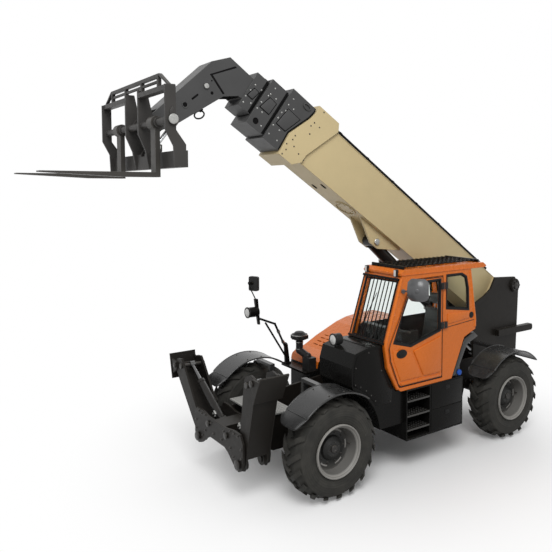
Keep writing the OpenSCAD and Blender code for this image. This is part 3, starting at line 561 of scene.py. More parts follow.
def bent_bar(path, radius, closed=False, sides=3):
    """A round bar or tube along a path of points."""
    clear()
    line = bpy.data.curves.new("bar", "CURVE")
    line.dimensions = "3D"
    line.bevel_depth = radius
    line.bevel_resolution = sides
    line.use_fill_caps = True
    run = line.splines.new("POLY")
    run.points.add(len(path) - 1)
    for point, place in zip(run.points, path):
        point.co = (*place, 1)
    run.use_cyclic_u = closed
    bar = bpy.data.objects.new("bar", line)
    bpy.context.collection.objects.link(bar)
    take(bar)
    bpy.ops.object.convert(target="MESH")
    bpy.ops.object.shade_smooth_by_angle(angle=math.radians(50))
    return bpy.context.object


rim_grey = sprayed_paint(
    "rim_grey_paint", (0.27, 0.26, 0.245), 0.45, dust=0.03, edge=(0.42, 0.40, 0.38), shine=0.30,
)
wheels = (("fl", axle_x, 1), ("fr", axle_x, -1), ("rl", -axle_x, 1), ("rr", -axle_x, -1))
for corner, x, sign in wheels:
    centre = (x, sign * half_track, hub_z)
    coat(tyre_rubber("tyre_rubber_" + corner, centre), "tyre_" + corner)
    coat(rim_paint("rim_paint_" + corner, centre), "rim_" + corner)
    hub = at(*centre) @ looking((0, sign, 0))
    wheel = "wheel_" + corner
    nuts = joined([
        row_of(hex_bolt(0.019), ring_places(10, 0.194, 0.030)),
        row_of(hex_bolt(0.012), ring_places(6, 0.078, 0.096, 0.3)),
    ])
    fixed(nuts, "wheel_nuts_" + corner, wheel, bolt_black, hub)
    arc = range(-14, 15, 4)
    slit = plate([polar(0.246, a) for a in arc] + [polar(0.226, a) for a in reversed(arc)], 0.0035, 0.001)
    slits = row_of(slit, [m @ at(-0.0001, 0, 0.0295) for m in ring_places(6, 0.0001)])
    fixed(slits, "hand_holes_" + corner, wheel, rim_grey, hub)
    cap = turned([
        (0, 0.094), (0.052, 0.094), (0.052, 0.104), (0.046, 0.112), (0.020, 0.117), (0.018, 0.112),
        (0, 0.111),
    ], 36)
    fixed(cap, "hub_cap_" + corner, wheel, bolt_black, hub)
    lock = hoop(oval(0.338, 0.338, 72), 0.2125, 0.007)
    fixed(lock, "lock_ring_" + corner, wheel, rim_grey, hub)
    valve = joined([
        bent_bar([(0.288, 0, 0.000), (0.276, 0, 0.010), (0.266, 0, 0.030), (0.266, 0, 0.062)], 0.006),
        row_of(
            turned([(0, 0), (0.009, 0), (0.009, 0.018), (0.006, 0.021), (0, 0.021)], 12),
            [at(0.266, 0, 0.058)],
        ),
    ])
    fixed(valve, "valve_" + corner, wheel, bolt_black, hub)

# Fenders: glossy dark moulded shells over the tyres, with a rolled bead round the edge and four
# button-head bolts into the bracket that carries each from the frame.
fender_plastic = moulded_plastic("fender_plastic", (0.022, 0.022, 0.022), 0.24, bump=0.03, shine=0.45)
coat(fender_plastic, "front_fenders", "rear_fenders")
low = 46  # degrees above the wheel's front where the shell begins
for corner, x, sign in wheels:
    high = 126 if x > 0 else 134
    arc = [polar(0.762, low + (high - low) * i / 28, x, hub_z) for i in range(29)]
    loop = [(px, sign * 1.253, pz) for px, pz in arc]
    loop += [(px, sign * 0.802, pz) for px, pz in reversed(arc)]
    trim(bent_bar(loop, 0.0115, closed=True), "fender_bead_" + corner, fender_plastic)
    clear()
    bpy.ops.mesh.primitive_grid_add(x_subdivisions=14, y_subdivisions=20, size=2)
    lip = bpy.context.object
    for point in lip.data.vertices:
        t, v = (point.co.x + 1) / 2, point.co.y
        px, pz = polar(0.760 + 0.030 * t * t, low + 0.5 - 15 * t * (1 - 0.55 * abs(v) ** 5), x, hub_z)
        point.co = (px, sign * (1.0275 + 0.2265 * v), pz)
    bpy.ops.object.mode_set(mode="EDIT")
    close_outward()
    wall = lip.modifiers.new("wall", "SOLIDIFY")
    wall.thickness = 0.010
    wall.offset = 0
    bpy.ops.object.modifier_apply(modifier="wall")
    soften(lip, 0.004)
    trim(lip, "fender_lip_" + corner, fender_plastic)
    bolts = []
    for a in (78, 96):
        for y in (0.86, 1.20):
            (px, pz), (out_x, out_z) = polar(0.768, a, x, hub_z), polar(1, a)
            bolts += spots([(px, sign * y, pz)], (out_x, 0, out_z))
    bolted(0.014, bolts, "fender_bolts_" + corner, "chassis")

# Steps and side box on the left: a folded sheet box with a three-tread recess. The treads have pressed
# studs and a rubbed steel nosing, and two flush doors with paddle latches close the locker behind.


def upright(y, sign, x=0, z=0):
    """Takes a drawing in x and z to a side at y, facing left or right by its sign."""
    return Matrix(((1, 0, 0, x), (0, 0, sign, y), (0, 1, 0, z), (0, 0, 0, 1)))


def on_left(y):
    """Takes a drawing measured from the rear axle to the left side at y, facing out."""
    return upright(y, 1, -axle_x, drawing_z)


def on_right(y):
    """The same for the right side."""
    return upright(y, -1, -axle_x, drawing_z)


def rubber_strip(middle, outer, inner, thick, rounding=0.0):
    """A flat frame along an outline, between two distances from it, from z = 0 up."""
    clear()
    loops = []
    for outline in (grown(middle, outer), grown(middle, inner)):
        bpy.ops.mesh.primitive_circle_add(vertices=len(outline), radius=1, fill_type="NOTHING")
        loops.append(bpy.context.object)
        for corner, (x, y) in zip(bpy.context.object.data.vertices, outline):
            corner.co = (x, y, 0)
    strip = joined(loops)
    edit_all()
    bpy.ops.mesh.bridge_edge_loops()
    bpy.ops.mesh.select_all(action="SELECT")
    bpy.ops.mesh.extrude_region_move(TRANSFORM_OT_translate={"value": (0, 0, thick)})
    close_outward()
    if rounding:
        soften(strip, rounding)
    return strip


def grown(outline, by):
    """An outline moved outward all round, or inward if by is negative."""
    area = sum(a[0] * b[1] - b[0] * a[1] for a, b in zip(outline, outline[1:] + outline[:1]))
    turn = 1 if area > 0 else -1
    moved = []
    for before, here, after in zip(outline[-1:] + outline[:-1], outline, outline[1:] + outline[:1]):
        d1 = (Vector(here) - Vector(before)).normalized()
        d2 = (Vector(after) - Vector(here)).normalized()
        n1 = Vector((d1.y, -d1.x)) * turn
        n2 = Vector((d2.y, -d2.x)) * turn
        moved.append(tuple(Vector(here) + (n1 + n2) * (by / (1 + n1.dot(n2)))))
    return moved


def panel(x0, y0, x1, y1, thick, rounding=0.0, steps=2):
    """A rectangular plate between two corners."""
    return plate([(x0, y0), (x1, y0), (x1, y1), (x0, y1)], thick, rounding, steps)


panel_black = sprayed_paint(
    "panel_black_paint", (0.0052, 0.0050, 0.0046), 0.24, shift=0.16, dust=0.008,
    edge=(0.05, 0.046, 0.042), shine=0.08,
)
tread_steel = bare_metal("rubbed_steel", (0.050, 0.048, 0.045), 0.46, metal=0.4)
coat(panel_black, "step_box")
for level, z in (("low", 0.684), ("mid", 0.884), ("top", 1.096)):
    stud = turned([(0, 0), (0.013, 0), (0.010, 0.005), (0.006, 0.006), (0, 0.006)], 8)
    grid = [at(1.89 + 0.045 * i, 0.975 + 0.05 * j, z) for i in range(9) for j in range(4)]
    trim(row_of(stud, grid), "step_studs_" + level, tread_steel, from_rear_axle)
    nosing = panel(1.852, 0, 2.288, 0.026, 0.006, 0.002)
    trim(nosing, "step_nosing_" + level, tread_steel, on_left(1.164) @ at(0, z - 0.025, 0))
for name, low, high in (("locker_door_low", 0.560, 0.872), ("locker_door_top", 0.886, 1.236)):
    leaf = panel(1.185, low, 1.825, high, 0.008, 0.003)
    trim(leaf, name, panel_black, on_left(1.170))
    latch = joined([slab(0.090, 0.060, 0.012, 0.006, 0.002), slab(0.064, 0.030, 0.008, 0.013, 0.004)])
    trim(latch, name + "_latch", black_rubber, on_left(1.178) @ at(1.50, high - 0.08, 0))

# Filler and arch liner behind the steps: a black moulded liner follows the cab's sloping underside, and
# the urea tank's neck with its blue screw cap stands on the side box.
cap_blue = moulded_plastic("cap_blue", (0.02, 0.09, 0.42), 0.35)
liner = [
    (0.790, 1.800), (0.885, 1.880), (1.095, 1.795), (1.355, 1.275), (1.275, 1.262), (1.035, 1.705),
    (0.930, 1.745),
]
trim(plate(liner, 0.300, 0.012), "arch_liner", fender_plastic, on_left(0.840))
neck = plate([(1.180, 1.255), (1.268, 1.255), (1.190, 1.405), (1.180, 1.405)], 0.200, 0.010)
trim(neck, "filler_neck", fender_plastic, on_left(0.930))
knurled = [polar(0.040 if i % 2 else 0.043, 10 * i) for i in range(36)]
trim(plate(knurled, 0.030, 0.003), "filler_cap", cap_blue, on_left(1.130) @ at(1.212, 1.312, 0))

# Front cowl: a folded sheet housing ahead of the cab, cut away over the tyre, with a bolted side panel,
# a lid on top and a round work lamp on a bracket.
coat(panel_black, "front_cowl")
arch = [polar(0.815, a, 2 * axle_x, hub_z - drawing_z) for a in range(112, 149, 4)]
side_panel = arch + [
    (2.540, 1.110), (2.520, 1.270), (2.700, 1.600), (2.752, 1.895), (2.955, 1.895), (3.145, 1.845),
    (3.195, 1.700),
]
trim(plate(side_panel, 0.006, 0.002), "cowl_side_panel", panel_black, on_left(1.110))
rim_points = grown(side_panel, -0.028)
bolted(
    0.012, [on_left(1.116) @ at(x, z, 0) for x, z in rim_points[::2]], "cowl_bolts", "chassis",
)
lid = panel(2.745, 0.47, 2.945, 1.04, 0.008, 0.003)
trim(lid, "cowl_lid", panel_black, from_rear_axle @ at(0, 0, 1.935))
clear_lens = lens_plastic("clear_lens", (0.62, 0.62, 0.60))
lamp_black = moulded_plastic("lamp_black", (0.020, 0.020, 0.020), 0.40)
coat(lamp_black, "headlamp")
lamp_bezel = [
    (0.066, -0.004), (0.082, -0.010), (0.086, 0.000), (0.084, 0.012), (0.070, 0.014), (0.066, 0.008),
]
lamp_lens = [
    (0, 0.002), (0.068, 0.002), (0.068, 0.008), (0.055, 0.016), (0.035, 0.022), (0.015, 0.025),
    (0, 0.026),
]
for name, place in (("headlamp", (1.430, 0.650, 1.945)), ("post_lamp", (1.815, -1.020, 2.088))):
    front = at(*place) @ looking((1, 0, 0))
    trim(turned(lamp_bezel, 48), name + "_bezel", lamp_black, front)
    fixed(turned(lamp_lens, 48), name + "_lens", "chassis", clear_lens, front)
    fin = panel(-0.060, -0.006, 0.060, 0.006, 0.020, 0.003)
    fins = row_of(
        fin,
        [front @ at(0, 0, -0.112) @ spun(90, "Z") @ at(0, y, 0) for y in (-0.036, -0.012, 0.012, 0.036)],
    )
    trim(fins, name + "_fins", lamp_black)

# Cab: welded tube and pressed sheet, sprayed orange. The panes are bonded in with black rubber and a
# printed black border, a wiper sweeps the front one, and the door shuts on a bulb seal.


def across(sign, x=0):
    """Takes a drawing in y and z to a front or rear face at x, by its sign."""
    return Matrix(((0, 0, sign, x), (1, 0, 0, 0), (0, 1, 0, 0), (0, 0, 0, 1)))


def window_glass(name):
    """Tinted laminated glass, thin, with faint smears."""
    glass, tree, skin, where = new_finish(name, Transmission_Weight=1.0, IOR=1.05)
    smear = add(tree, "TexNoise", where, Scale=3.5, Detail=6)
    tone = ramp(tree, smear, (0, (0.86, 0.90, 0.88)), (1, (0.93, 0.95, 0.94)))
    return dressed(glass, tree, skin, tone, add(tree, "MapRange", smear, To_Min=0.0, To_Max=0.06))


body_orange = sprayed_paint(
    "body_orange_paint", (0.640, 0.148, 0.012), 0.24, shift=0.06, dust=0.02, wear_and_highlight=0.25,
    edge=(0.86, 0.30, 0.10), shine=0.30,
)
tinted = window_glass("tinted_glass")
coat(body_orange, "cab_frame", "cab_door")
coat(tinted, "cab_glass", "door_glass")
coat(panel_black, "cab_guard")
door_window = [
    (1.655, 2.010), (2.230, 1.865), (2.540, 1.950), (2.390, 2.315), (2.205, 2.725), (1.655, 2.740),
]
quarter_window = [
    (1.045, 2.245), (1.515, 2.312), (1.515, 2.785), (1.200, 2.785), (1.105, 2.735), (1.060, 2.560),
]
boom_window = [(1.000, 1.990), (2.560, 1.990), (2.325, 2.740), (1.060, 2.740)]
door_edge = [
    (1.600, 1.315), (2.415, 1.315), (2.465, 1.355), (2.610, 1.700), (2.638, 1.880), (2.620, 1.945),
    (2.460, 2.260), (2.250, 2.735), (2.205, 2.780), (1.600, 2.785),
]
for name, body, pane, face, glass in (
    ("door_window", "cab_door", door_window, 1.165, 1.1421),
    ("quarter_window", "chassis", quarter_window, 1.160, 1.1401),
):
    lip = rubber_strip(pane, 0.020, -0.008, face + 0.003 - glass, 0.003)
    fixed(lip, name + "_rubber", body, black_rubber, on_left(glass))
    border = rubber_strip(pane, -0.006, -0.026, 0.0015)
    fixed(border, name + "_border", body, black_rubber, on_left(glass))
lip = rubber_strip(boom_window, 0.014, -0.030, 0.0225, 0.003)
trim(lip, "boom_window_rubber", black_rubber, on_right(0.4045))
trim(rubber_strip(door_edge, 0.0095, 0.0025, 0.028, 0.001), "door_seal", black_rubber, on_left(1.120))
edging = rubber_strip(door_edge, -0.001, -0.014, 0.003, 0.001)
fixed(edging, "door_edge_trim", "cab_door", black_rubber, on_left(1.1645))
screen = at(0.945, 0, 1.888) @ Matrix.Rotation(-math.atan2(0.300, 0.920), 4, "Y") @ across(1)
screen_edge = [(0.435, 0.040), (1.110, 0.040), (1.110, 0.880), (0.435, 0.880)]
behind = at(0, 0, -0.0195)  # the rubber starts behind the pane
edging = rubber_strip(screen_edge, 0.004, -0.014, 0.0215, 0.002)
trim(edging, "screen_rubber", black_rubber, screen @ behind)
wiper = joined([
    bent_bar([(0.600, 0.060, -0.008), (0.640, 0.330, -0.008), (0.655, 0.420, -0.011)], 0.006),
    bent_bar([(0.585, 0.180, -0.014), (0.655, 0.420, -0.013), (0.730, 0.680, -0.014)], 0.005),
    row_of(
        turned([(0, 0), (0.020, 0), (0.020, 0.010), (0.013, 0.017), (0, 0.018)], 20),
        [at(0.600, 0.055, -0.018)],
    ),
])
trim(wiper, "screen_wiper", black_rubber, screen)
rear_screen = at(-0.873, 0, 2.058) @ Matrix.Rotation(math.atan2(0.118, 0.750), 4, "Y") @ across(-1)
rear_edge = [(0.435, 0.030), (1.110, 0.030), (1.110, 0.660), (0.435, 0.660)]
edging = rubber_strip(rear_edge, 0.004, -0.014, 0.0215, 0.002)
trim(edging, "rear_screen_rubber", black_rubber, rear_screen @ behind)

# Cab door skin: two pressed fields meet in a slanting crease, with a folded ledge below, a flush black
# handle in an oval dish and black strap hinges on the rear pillar. Behind it lie a pressed panel with a
# sealed seam and a vent, and bent tubes are welded along the cab's front and rear corners.
fields = joined([
    plate([(1.650, 1.405), (1.985, 1.405), (2.185, 1.790), (1.650, 1.925)], 0.020, 0.014, 4),
    plate(
        [(2.020, 1.405), (2.425, 1.405), (2.555, 1.705), (2.570, 1.850), (2.235, 1.775)], 0.015, 0.010, 4,
    ),
])
fixed(fields, "door_pressing", "cab_door", body_orange, on_left(1.163))
ledge = plate([(1.625, 1.338), (2.400, 1.338), (2.425, 1.372), (1.625, 1.372)], 0.014, 0.005)
fixed(ledge, "door_ledge", "cab_door", body_orange, on_left(1.163))
handle = joined([
    plate(oval(0.098, 0.060, 32), 0.007, 0.003),
    row_of(slab(0.105, 0.036, 0.014, 0.016, 0.005), [spun(-12, "Z")]),
])
fixed(
    handle, "door_handle", "cab_door", black_rubber, on_left(1.1775) @ at(2.415, 1.783, 0),
)
for level, z in (("low", 2.030), ("top", 2.600)):
    for half, body, x0, x1 in (("frame", "chassis", 1.522, 1.5908), ("door", "cab_door", 1.5928, 1.653)):
        strap = joined([
            panel(x0, z - 0.003, x1, z + 0.093, 0.034, 0.006),
            row_of(hex_bolt(0.012), [at((x0 + x1) / 2, z + dz, 0.034) for dz in (0.022, 0.068)]),
        ])
        fixed(strap, "hinge_" + half + "_" + level, body, lamp_black, on_left(1.159))
raised = plate([(1.034, 2.208), (1.034, 2.113), (1.500, 2.078), (1.500, 2.232)], 0.013, 0.009, 4)
fixed(raised, "quarter_pressing", "chassis", body_orange, on_left(1.158))
seam = bent_bar([(1.586, 2.024, 0), (0.900, 2.075, 0)], 0.005)
trim(seam, "quarter_seam", black_rubber, on_left(1.159))
front_pillar = bent_bar([
    (2.462, 1.300, 0), (2.616, 1.584, 0), (2.636, 1.640, 0), (2.682, 1.900, 0), (2.684, 1.938, 0),
    (2.668, 1.995, 0), (2.404, 2.806, 0),
], 0.026, sides=6)
rear_pillar = bent_bar(
    [(1.016, 2.806, 0), (0.902, 2.130, 0), (0.894, 2.080, 0), (0.894, 1.965, 0)], 0.026, sides=6,
)
tubes = joined([front_pillar, rear_pillar])
fixed(tubes, "cab_pillar_tubes", "chassis", body_orange, on_left(1.148))
vent = turned(
    [(0, 0), (0.046, 0), (0.046, 0.006), (0.040, 0.011), (0.031, 0.008), (0.021, 0.012), (0, 0.013)], 32,
)
trim(vent, "cab_vent", black_rubber, on_left(1.160) @ at(0.980, 2.152, 0))

# Roof: a pressed orange slab with a glazed hatch under a mesh guard of welded rods, drip rails along
# the sides and two small lamps under the front edge.
rods = [
    bent_bar([(0.805 + 0.093 * i, 0.455, 2.963), (0.805 + 0.093 * i, 1.090, 2.963)], 0.0045)
    for i in range(17)
]
trim(joined(rods), "roof_mesh", panel_black, from_rear_axle)
for side, y in (("left", 1.166), ("right", 0.384)):
    rail = bent_bar([(0.690, y, 2.866), (0.760, y, 2.858), (2.380, y, 2.858), (2.420, y, 2.866)], 0.008)
    fixed(rail, "drip_rail_" + side, "chassis", body_orange, from_rear_axle)
for side, y in (("left", 1.080), ("right", 0.470)):
    brow = at(0.660, y, 2.842) @ looking((1, 0, 0))
    trim(slab(0.050, 0.100, 0.012, 0.050, 0.006), "roof_lamp_" + side, lamp_black, brow)
    lens = slab(0.038, 0.086, 0.009, 0.055, 0.003)
    fixed(lens, "roof_lamp_lens_" + side, "chassis", clear_lens, brow)

# Operator's seat: a moulded vinyl suspension seat. Foam cushion, back and head rest in grained black
# vinyl with sewn channels and piping, on a pleated rubber bellows.


def pad(length, width, height, channels, crown=0.40, pull=0.05):
    """A crowned foam pad about the origin: flat below, sides pulled in, sewn channels across."""
    clear()
    bpy.ops.mesh.primitive_cube_add(size=2)
    foam = bpy.context.object
    edit_all()
    bpy.ops.mesh.subdivide(number_cuts=23)
    bpy.ops.object.mode_set(mode="OBJECT")
    for point in foam.data.vertices:
        u, v, w = point.co
        rise = (1 - crown) + crown * (1 - u ** 4) ** 0.5 * (1 - v ** 4) ** 0.5
        seam = sum(math.exp(-(((u - c) / 0.035) ** 2)) for c in channels) * (1 - v ** 6)
        top = rise - 0.16 * seam
        side = 1 - 0.10 * max(0.0, w) ** 2
        x = u * (1 - pull * (1 - v * v)) * side
        y = v * (1 - pull * (1 - u * u)) * side
        z = top if w > 0.99 else -1 + (w + 1) * (1 + min(top, rise)) / 2
        point.co = (x * length / 2, y * width / 2, z * height / 2)
    take(foam)
    smoothing = foam.modifiers.new("smoothing", "SUBSURF")
    smoothing.levels = smoothing.render_levels = 1
    bpy.ops.object.modifier_apply(modifier="smoothing")
    bpy.ops.object.shade_smooth()
    return foam


def plated(piece, name, body, where=None):
    """A zinc-plated fitting."""
    return fixed(piece, name, body, zinc, where)


seat_vinyl = moulded_plastic("seat_vinyl", (0.058, 0.061, 0.060), 0.44, grain=260, bump=0.35, shine=0.30)
seat_y = 0.7725
cushion = pad(0.515, 0.465, 0.125, (-0.45, 0.05, 0.52))
fixed(cushion, "seat_cushion", "chassis", seat_vinyl, at(-0.155, seat_y, 1.5855))
upended = spun(90, "Y") @ spun(180, "Z")
back_turn = at(-0.400, seat_y, 1.9265) @ spun(-10.1, "Y") @ upended
backrest = pad(0.560, 0.445, 0.110, (-0.55, -0.15, 0.25, 0.62))
fixed(backrest, "seat_back", "chassis", seat_vinyl, back_turn)
head_turn = at(-0.443, seat_y, 2.332) @ spun(-5, "Y") @ upended
head_rest = pad(0.168, 0.255, 0.085, ())
fixed(head_rest, "head_rest", "chassis", seat_vinyl, head_turn)
folds = [(0.335, 0.355, 0.04), (0.365, 0.385, 0.05)] * 7
pleats = [slab(*fold, 0.0195, 0.006) for fold in folds]
bellows = joined([row_of(p, [at(0, 0, 0.0188 * i)]) for i, p in enumerate(pleats)])
trim(bellows, "seat_bellows", black_rubber, at(-0.135, seat_y, 1.259))
stalks = joined([
    bent_bar([(-0.430, seat_y + dy, 2.180), (-0.440, seat_y + dy, 2.270)], 0.007)
    for dy in (-0.03, 0.03)
])
plated(stalks, "head_rest_stalks", "chassis")
for soft in (cushion, backrest, head_rest):
    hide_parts("operator_seat")
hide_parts("operator_seat")

# Controls: a moulded steering column, dashboard and side console in the cab, with a round wheel, a
# switch row and a joystick knob. Black moulded lining covers the walls, and a ribbed mat the floor.
console_grey = moulded_plastic("console_grey", (0.060, 0.060, 0.058), 0.42, shine=0.30)
coat(console_grey, "cab_controls")
dash = plate([
    (2.330, 1.700), (2.570, 1.720), (2.610, 1.900), (2.585, 2.030), (2.520, 2.110), (2.420, 2.120),
    (2.335, 1.990),
], 0.665, 0.020, 3)
trim(dash, "dashboard", lamp_black, on_left(0.437))
lining = plate([
    (1.420, 1.308), (2.380, 1.308), (2.450, 1.380), (2.585, 1.620), (2.610, 1.930), (2.570, 2.040),
    (2.400, 2.095), (1.010, 2.095), (0.935, 1.960), (1.150, 1.880),
], 0.007, 0.002)
trim(lining, "cab_lining", lamp_black, on_left(0.4305))
mat_rib = panel(1.830, -0.006, 2.190, 0.006, 0.006, 0.002)
mat = row_of(mat_rib, [from_rear_axle @ at(0, 0.560 + 0.030 * i, 1.300) for i in range(16)])
trim(mat, "floor_mat", black_rubber)
switch = slab(0.022, 0.034, 0.004, 0.008, 0.003)
switches = row_of(switch, [at(-0.28 + 0.05 * i, 0.475, 1.818) for i in range(6)])
trim(switches, "console_switches", black_rubber)
knob = turned(
    [(0, 0), (0.018, 0), (0.026, 0.025), (0.028, 0.050), (0.020, 0.068), (0.008, 0.074), (0, 0.075)], 24,
)
trim(knob, "joystick_knob", black_rubber, at(0.063, 0.475, 1.945))

# Mirrors: moulded shells, grey on the cab's bent steel arm and black on the post clamped at the right,
# with silvered glass behind. The cab's has a round boss and a rubber rim.
shell_grey = moulded_plastic("mirror_shell", (0.092, 0.093, 0.096), 0.24, bump=0.03, shine=0.40)
silvered = bare_metal("mirror_glass", (0.80, 0.82, 0.83), 0.08, scale=5)
coat(shell_grey, "cab_mirror")
mirror_spot = at(0.695, 1.510, 2.663) @ spun(35, "Z")
cab_glass_spot = mirror_spot @ at(-0.020, 0, 0) @ looking((-1, 0, 0))
trim(slab(0.244, 0.264, 0.07, 0.006, 0.002), "mirror_rim", black_rubber, cab_glass_spot)
glass = slab(0.226, 0.246, 0.06, 0.008, 0.001)
fixed(glass, "mirror_glass", "chassis", silvered, cab_glass_spot)
boss = turned(
    [(0, -0.006), (0.030, -0.006), (0.030, 0.002), (0.024, 0.007), (0.010, 0.009), (0, 0.009)], 28,
)
trim(boss, "mirror_boss", shell_grey, mirror_spot @ at(0.070, 0, 0) @ looking((1, 0, 0)))
coat(panel_black, "right_post")
post_spot = at(1.715, -1.020, 2.528) @ spun(25, "Z")
shell = slab(0.166, 0.226, 0.03, 0.066, 0.012, 3)
trim(shell, "post_mirror_shell", lamp_black, post_spot @ at(-0.053, 0, 0) @ looking((1, 0, 0)))
glass = slab(0.138, 0.196, 0.022, 0.004, 0.001)
fixed(
    glass, "post_mirror_glass", "chassis", silvered,
    post_spot @ at(-0.0525, 0, 0) @ looking((-1, 0, 0)),
)
clamp = turned([(0.017, -0.02), (0.027, -0.02), (0.027, 0.02), (0.017, 0.02)], 20)
clamps = row_of(
    clamp, [at(x, -1.020, z) @ looking((0.43, 0, 0.90)) for x, z in ((1.175, 1.545), (1.260, 1.722))],
)
plated(clamps, "post_clamps", "chassis")

# Engine side: an orange folded hood, hinged along its inner edge, over a black sheet bay with louvres.
# The engine stands inside as one cast block, and a cyclone cap feeds its air.


def louvre(width, height, corner):
    """A louvre pressed out of sheet: a flat rim, and a lip over the slot."""
    lip = height - 0.018
    return joined([
        slab(width, height, corner, 0.004, 0.001),
        row_of(slab(width - 0.010, lip, corner - 0.008, lip, corner - 0.010), [at(0, 0.008, 0)]),
    ])


cast_grey = sprayed_paint("engine_grey_paint", (0.085, 0.086, 0.085), 0.55, shift=0.2, bump=0.35)
coat(body_orange, "engine_hood")
coat(panel_black, "engine_bay")
coat(cast_grey, "engine_block")
intake_black = moulded_plastic("intake_black", (0.016, 0.016, 0.016), 0.38)
coat(intake_black, "air_intake")
pressing = [
    (0.900, 1.300), (2.560, 1.300), (2.385, 1.365), (2.150, 1.492), (1.940, 1.582), (1.735, 1.668),
    (1.520, 1.730), (1.200, 1.768), (0.900, 1.768),
]
field = plate(pressing, 0.010, 0.007, 3)
fixed(field, "hood_pressing", "engine_hood", body_orange, on_right(-1.148))
vents = [on_right(-1.158) @ at(x, 1.375 + 0.055 * i, 0) for x in (1.10, 1.50) for i in range(6)]
louvres = row_of(louvre(0.340, 0.034, 0.015), vents)
fixed(louvres, "hood_louvres", "engine_hood", panel_black)
for name, x in (("rear", 1.00), ("front", 2.30)):
    catch = joined([slab(0.060, 0.070, 0.010, 0.008, 0.002), slab(0.026, 0.050, 0.008, 0.018, 0.005)])
    fixed(
        catch, "hood_catch_" + name, "engine_hood", black_rubber,
        on_right(-1.150) @ at(x, 1.278, 0),
    )
bay_doors = joined([
    panel(0.860, 0.650, 1.735, 1.205, 0.009, 0.004),
    panel(1.755, 0.650, 2.650, 1.205, 0.009, 0.004),
])
trim(bay_doors, "bay_doors", panel_black, on_right(-1.150))
slats = [on_right(-1.158) @ at(x, 0.74 + 0.060 * i, 0) for x in (1.30, 2.20) for i in range(7)]
trim(row_of(louvre(0.560, 0.036, 0.016), slats), "bay_louvres", panel_black)
bay_bolts = [on_right(-1.159) @ at(x, z, 0) for x in (0.89, 1.705, 1.785, 2.62) for z in (0.68, 1.175)]
bolted(0.014, bay_bolts, "bay_bolts", "chassis")
band = turned([(0.123, 0), (0.128, 0), (0.128, 0.014), (0.123, 0.014)], 48)
plated(band, "intake_band", "chassis", at(1.071, -0.700, 1.700))
hose_clip = turned([(0.0565, 0), (0.061, 0), (0.061, 0.012), (0.0565, 0.012)], 32)
plated(row_of(hose_clip, [at(1.071, -0.700, z) for z in (1.480, 1.585)]), "intake_clips", "chassis")
ribs = row_of(
    slab(0.050, 0.500, 0.010, 0.012, 0.004), [at(-0.65 + 0.16 * i, -0.740, 1.138) for i in range(7)],
)
fixed(ribs, "engine_ribs", "chassis", cast_grey)

# Boom: a welded tan base box whose thick collar holds three dark grey sections, one in another. Each
# head carries bolted wear-pad plates, and a folded tray on top takes the hoses.
boom_tan = sprayed_paint(
    "boom_tan_paint", (0.520, 0.420, 0.232), 0.32, shift=0.04, dust=0.03, wear_and_highlight=0.25,
    edge=(0.72, 0.62, 0.42), shine=0.30,
)
boom_grey = sprayed_paint(
    "boom_grey_paint", (0.050, 0.050, 0.050), 0.38, shift=0.10, dust=0.02, wear_and_highlight=0.45,
    edge=(0.20, 0.20, 0.19), shine=0.25,
)
# Near black: painted shadow and painted shade in gaps, slots and holes, and the black of the nose shackle
# and cheek bands.
shade_and_plain_black = sprayed_paint("shadow_and_plain_black", (0.004, 0.004, 0.004), 0.70, wear_and_highlight=0.0, dust=0.0, shine=0.06)
coat(boom_tan, "boom_base")
coat(panel_black, "hose_tray")
coat(boom_grey, "boom_second", "boom_third", "boom_fourth", "boom_nose")
boom_rest = 33.9  # the boom's angle above level, in degrees
boom = at(*pivot) @ spun(-boom_rest, "Y")


def boom_side(y):
    """Takes a drawing in the boom's x and z to its side face at y, facing out."""
    return boom @ upright(y, 1 if y > 0 else -1)


half_width = {"base": 0.2600, "second": 0.2350, "third": 0.2150, "fourth": 0.1900}
head_bolts = {
    "base": [
        (4.957, 0.010), (5.006, -0.208), (5.030, -0.279), (4.902, -0.210), (4.985, -0.383),
        (5.165, -0.545), (5.168, -0.612), (5.100, -0.677), (5.215, -0.715), (5.181, -0.786),
        (4.984, -0.718), (5.200, -0.868), (4.870, -0.741),
    ],
    "second": [
        (5.446, -0.143), (5.465, -0.255), (5.369, -0.255), (5.457, -0.350), (5.495, -0.407),
        (5.500, -0.501), (5.510, -0.625), (5.395, -0.625), (5.350, -0.760), (5.500, -0.760),
    ],
    "third": [
        (5.737, -0.198), (5.754, -0.305), (5.653, -0.305), (5.770, -0.345), (5.805, -0.479),
        (5.815, -0.583), (5.728, -0.583), (5.640, -0.740),
    ],
    "fourth": [
        (5.990, -0.340), (5.880, -0.340), (6.010, -0.440), (6.025, -0.548), (6.010, -0.635),
        (5.913, -0.580),
    ],
}
patches = {
    "second": [(5.215, -0.315), (5.435, -0.310), (5.480, -0.575), (5.320, -0.580)],
    "third": [(5.619, -0.362), (5.735, -0.356), (5.790, -0.540), (5.635, -0.543)],
    "fourth": [(5.900, -0.395), (5.975, -0.390), (6.010, -0.520), (5.930, -0.523)],
}
# Rear edges of the inner sections' heads, along which black strips are laid as painted shade in the gaps
# between sections.
gap_shade_edges = {
    "second": [
        (5.075, -0.030), (5.070, -0.076), (5.100, -0.195), (5.267, -0.566), (5.263, -0.690),
        (5.262, -0.850),
    ],
    "third": [(5.536, -0.125), (5.560, -0.820)],
    "fourth": [(5.847, -0.188), (5.863, -0.700)],
}
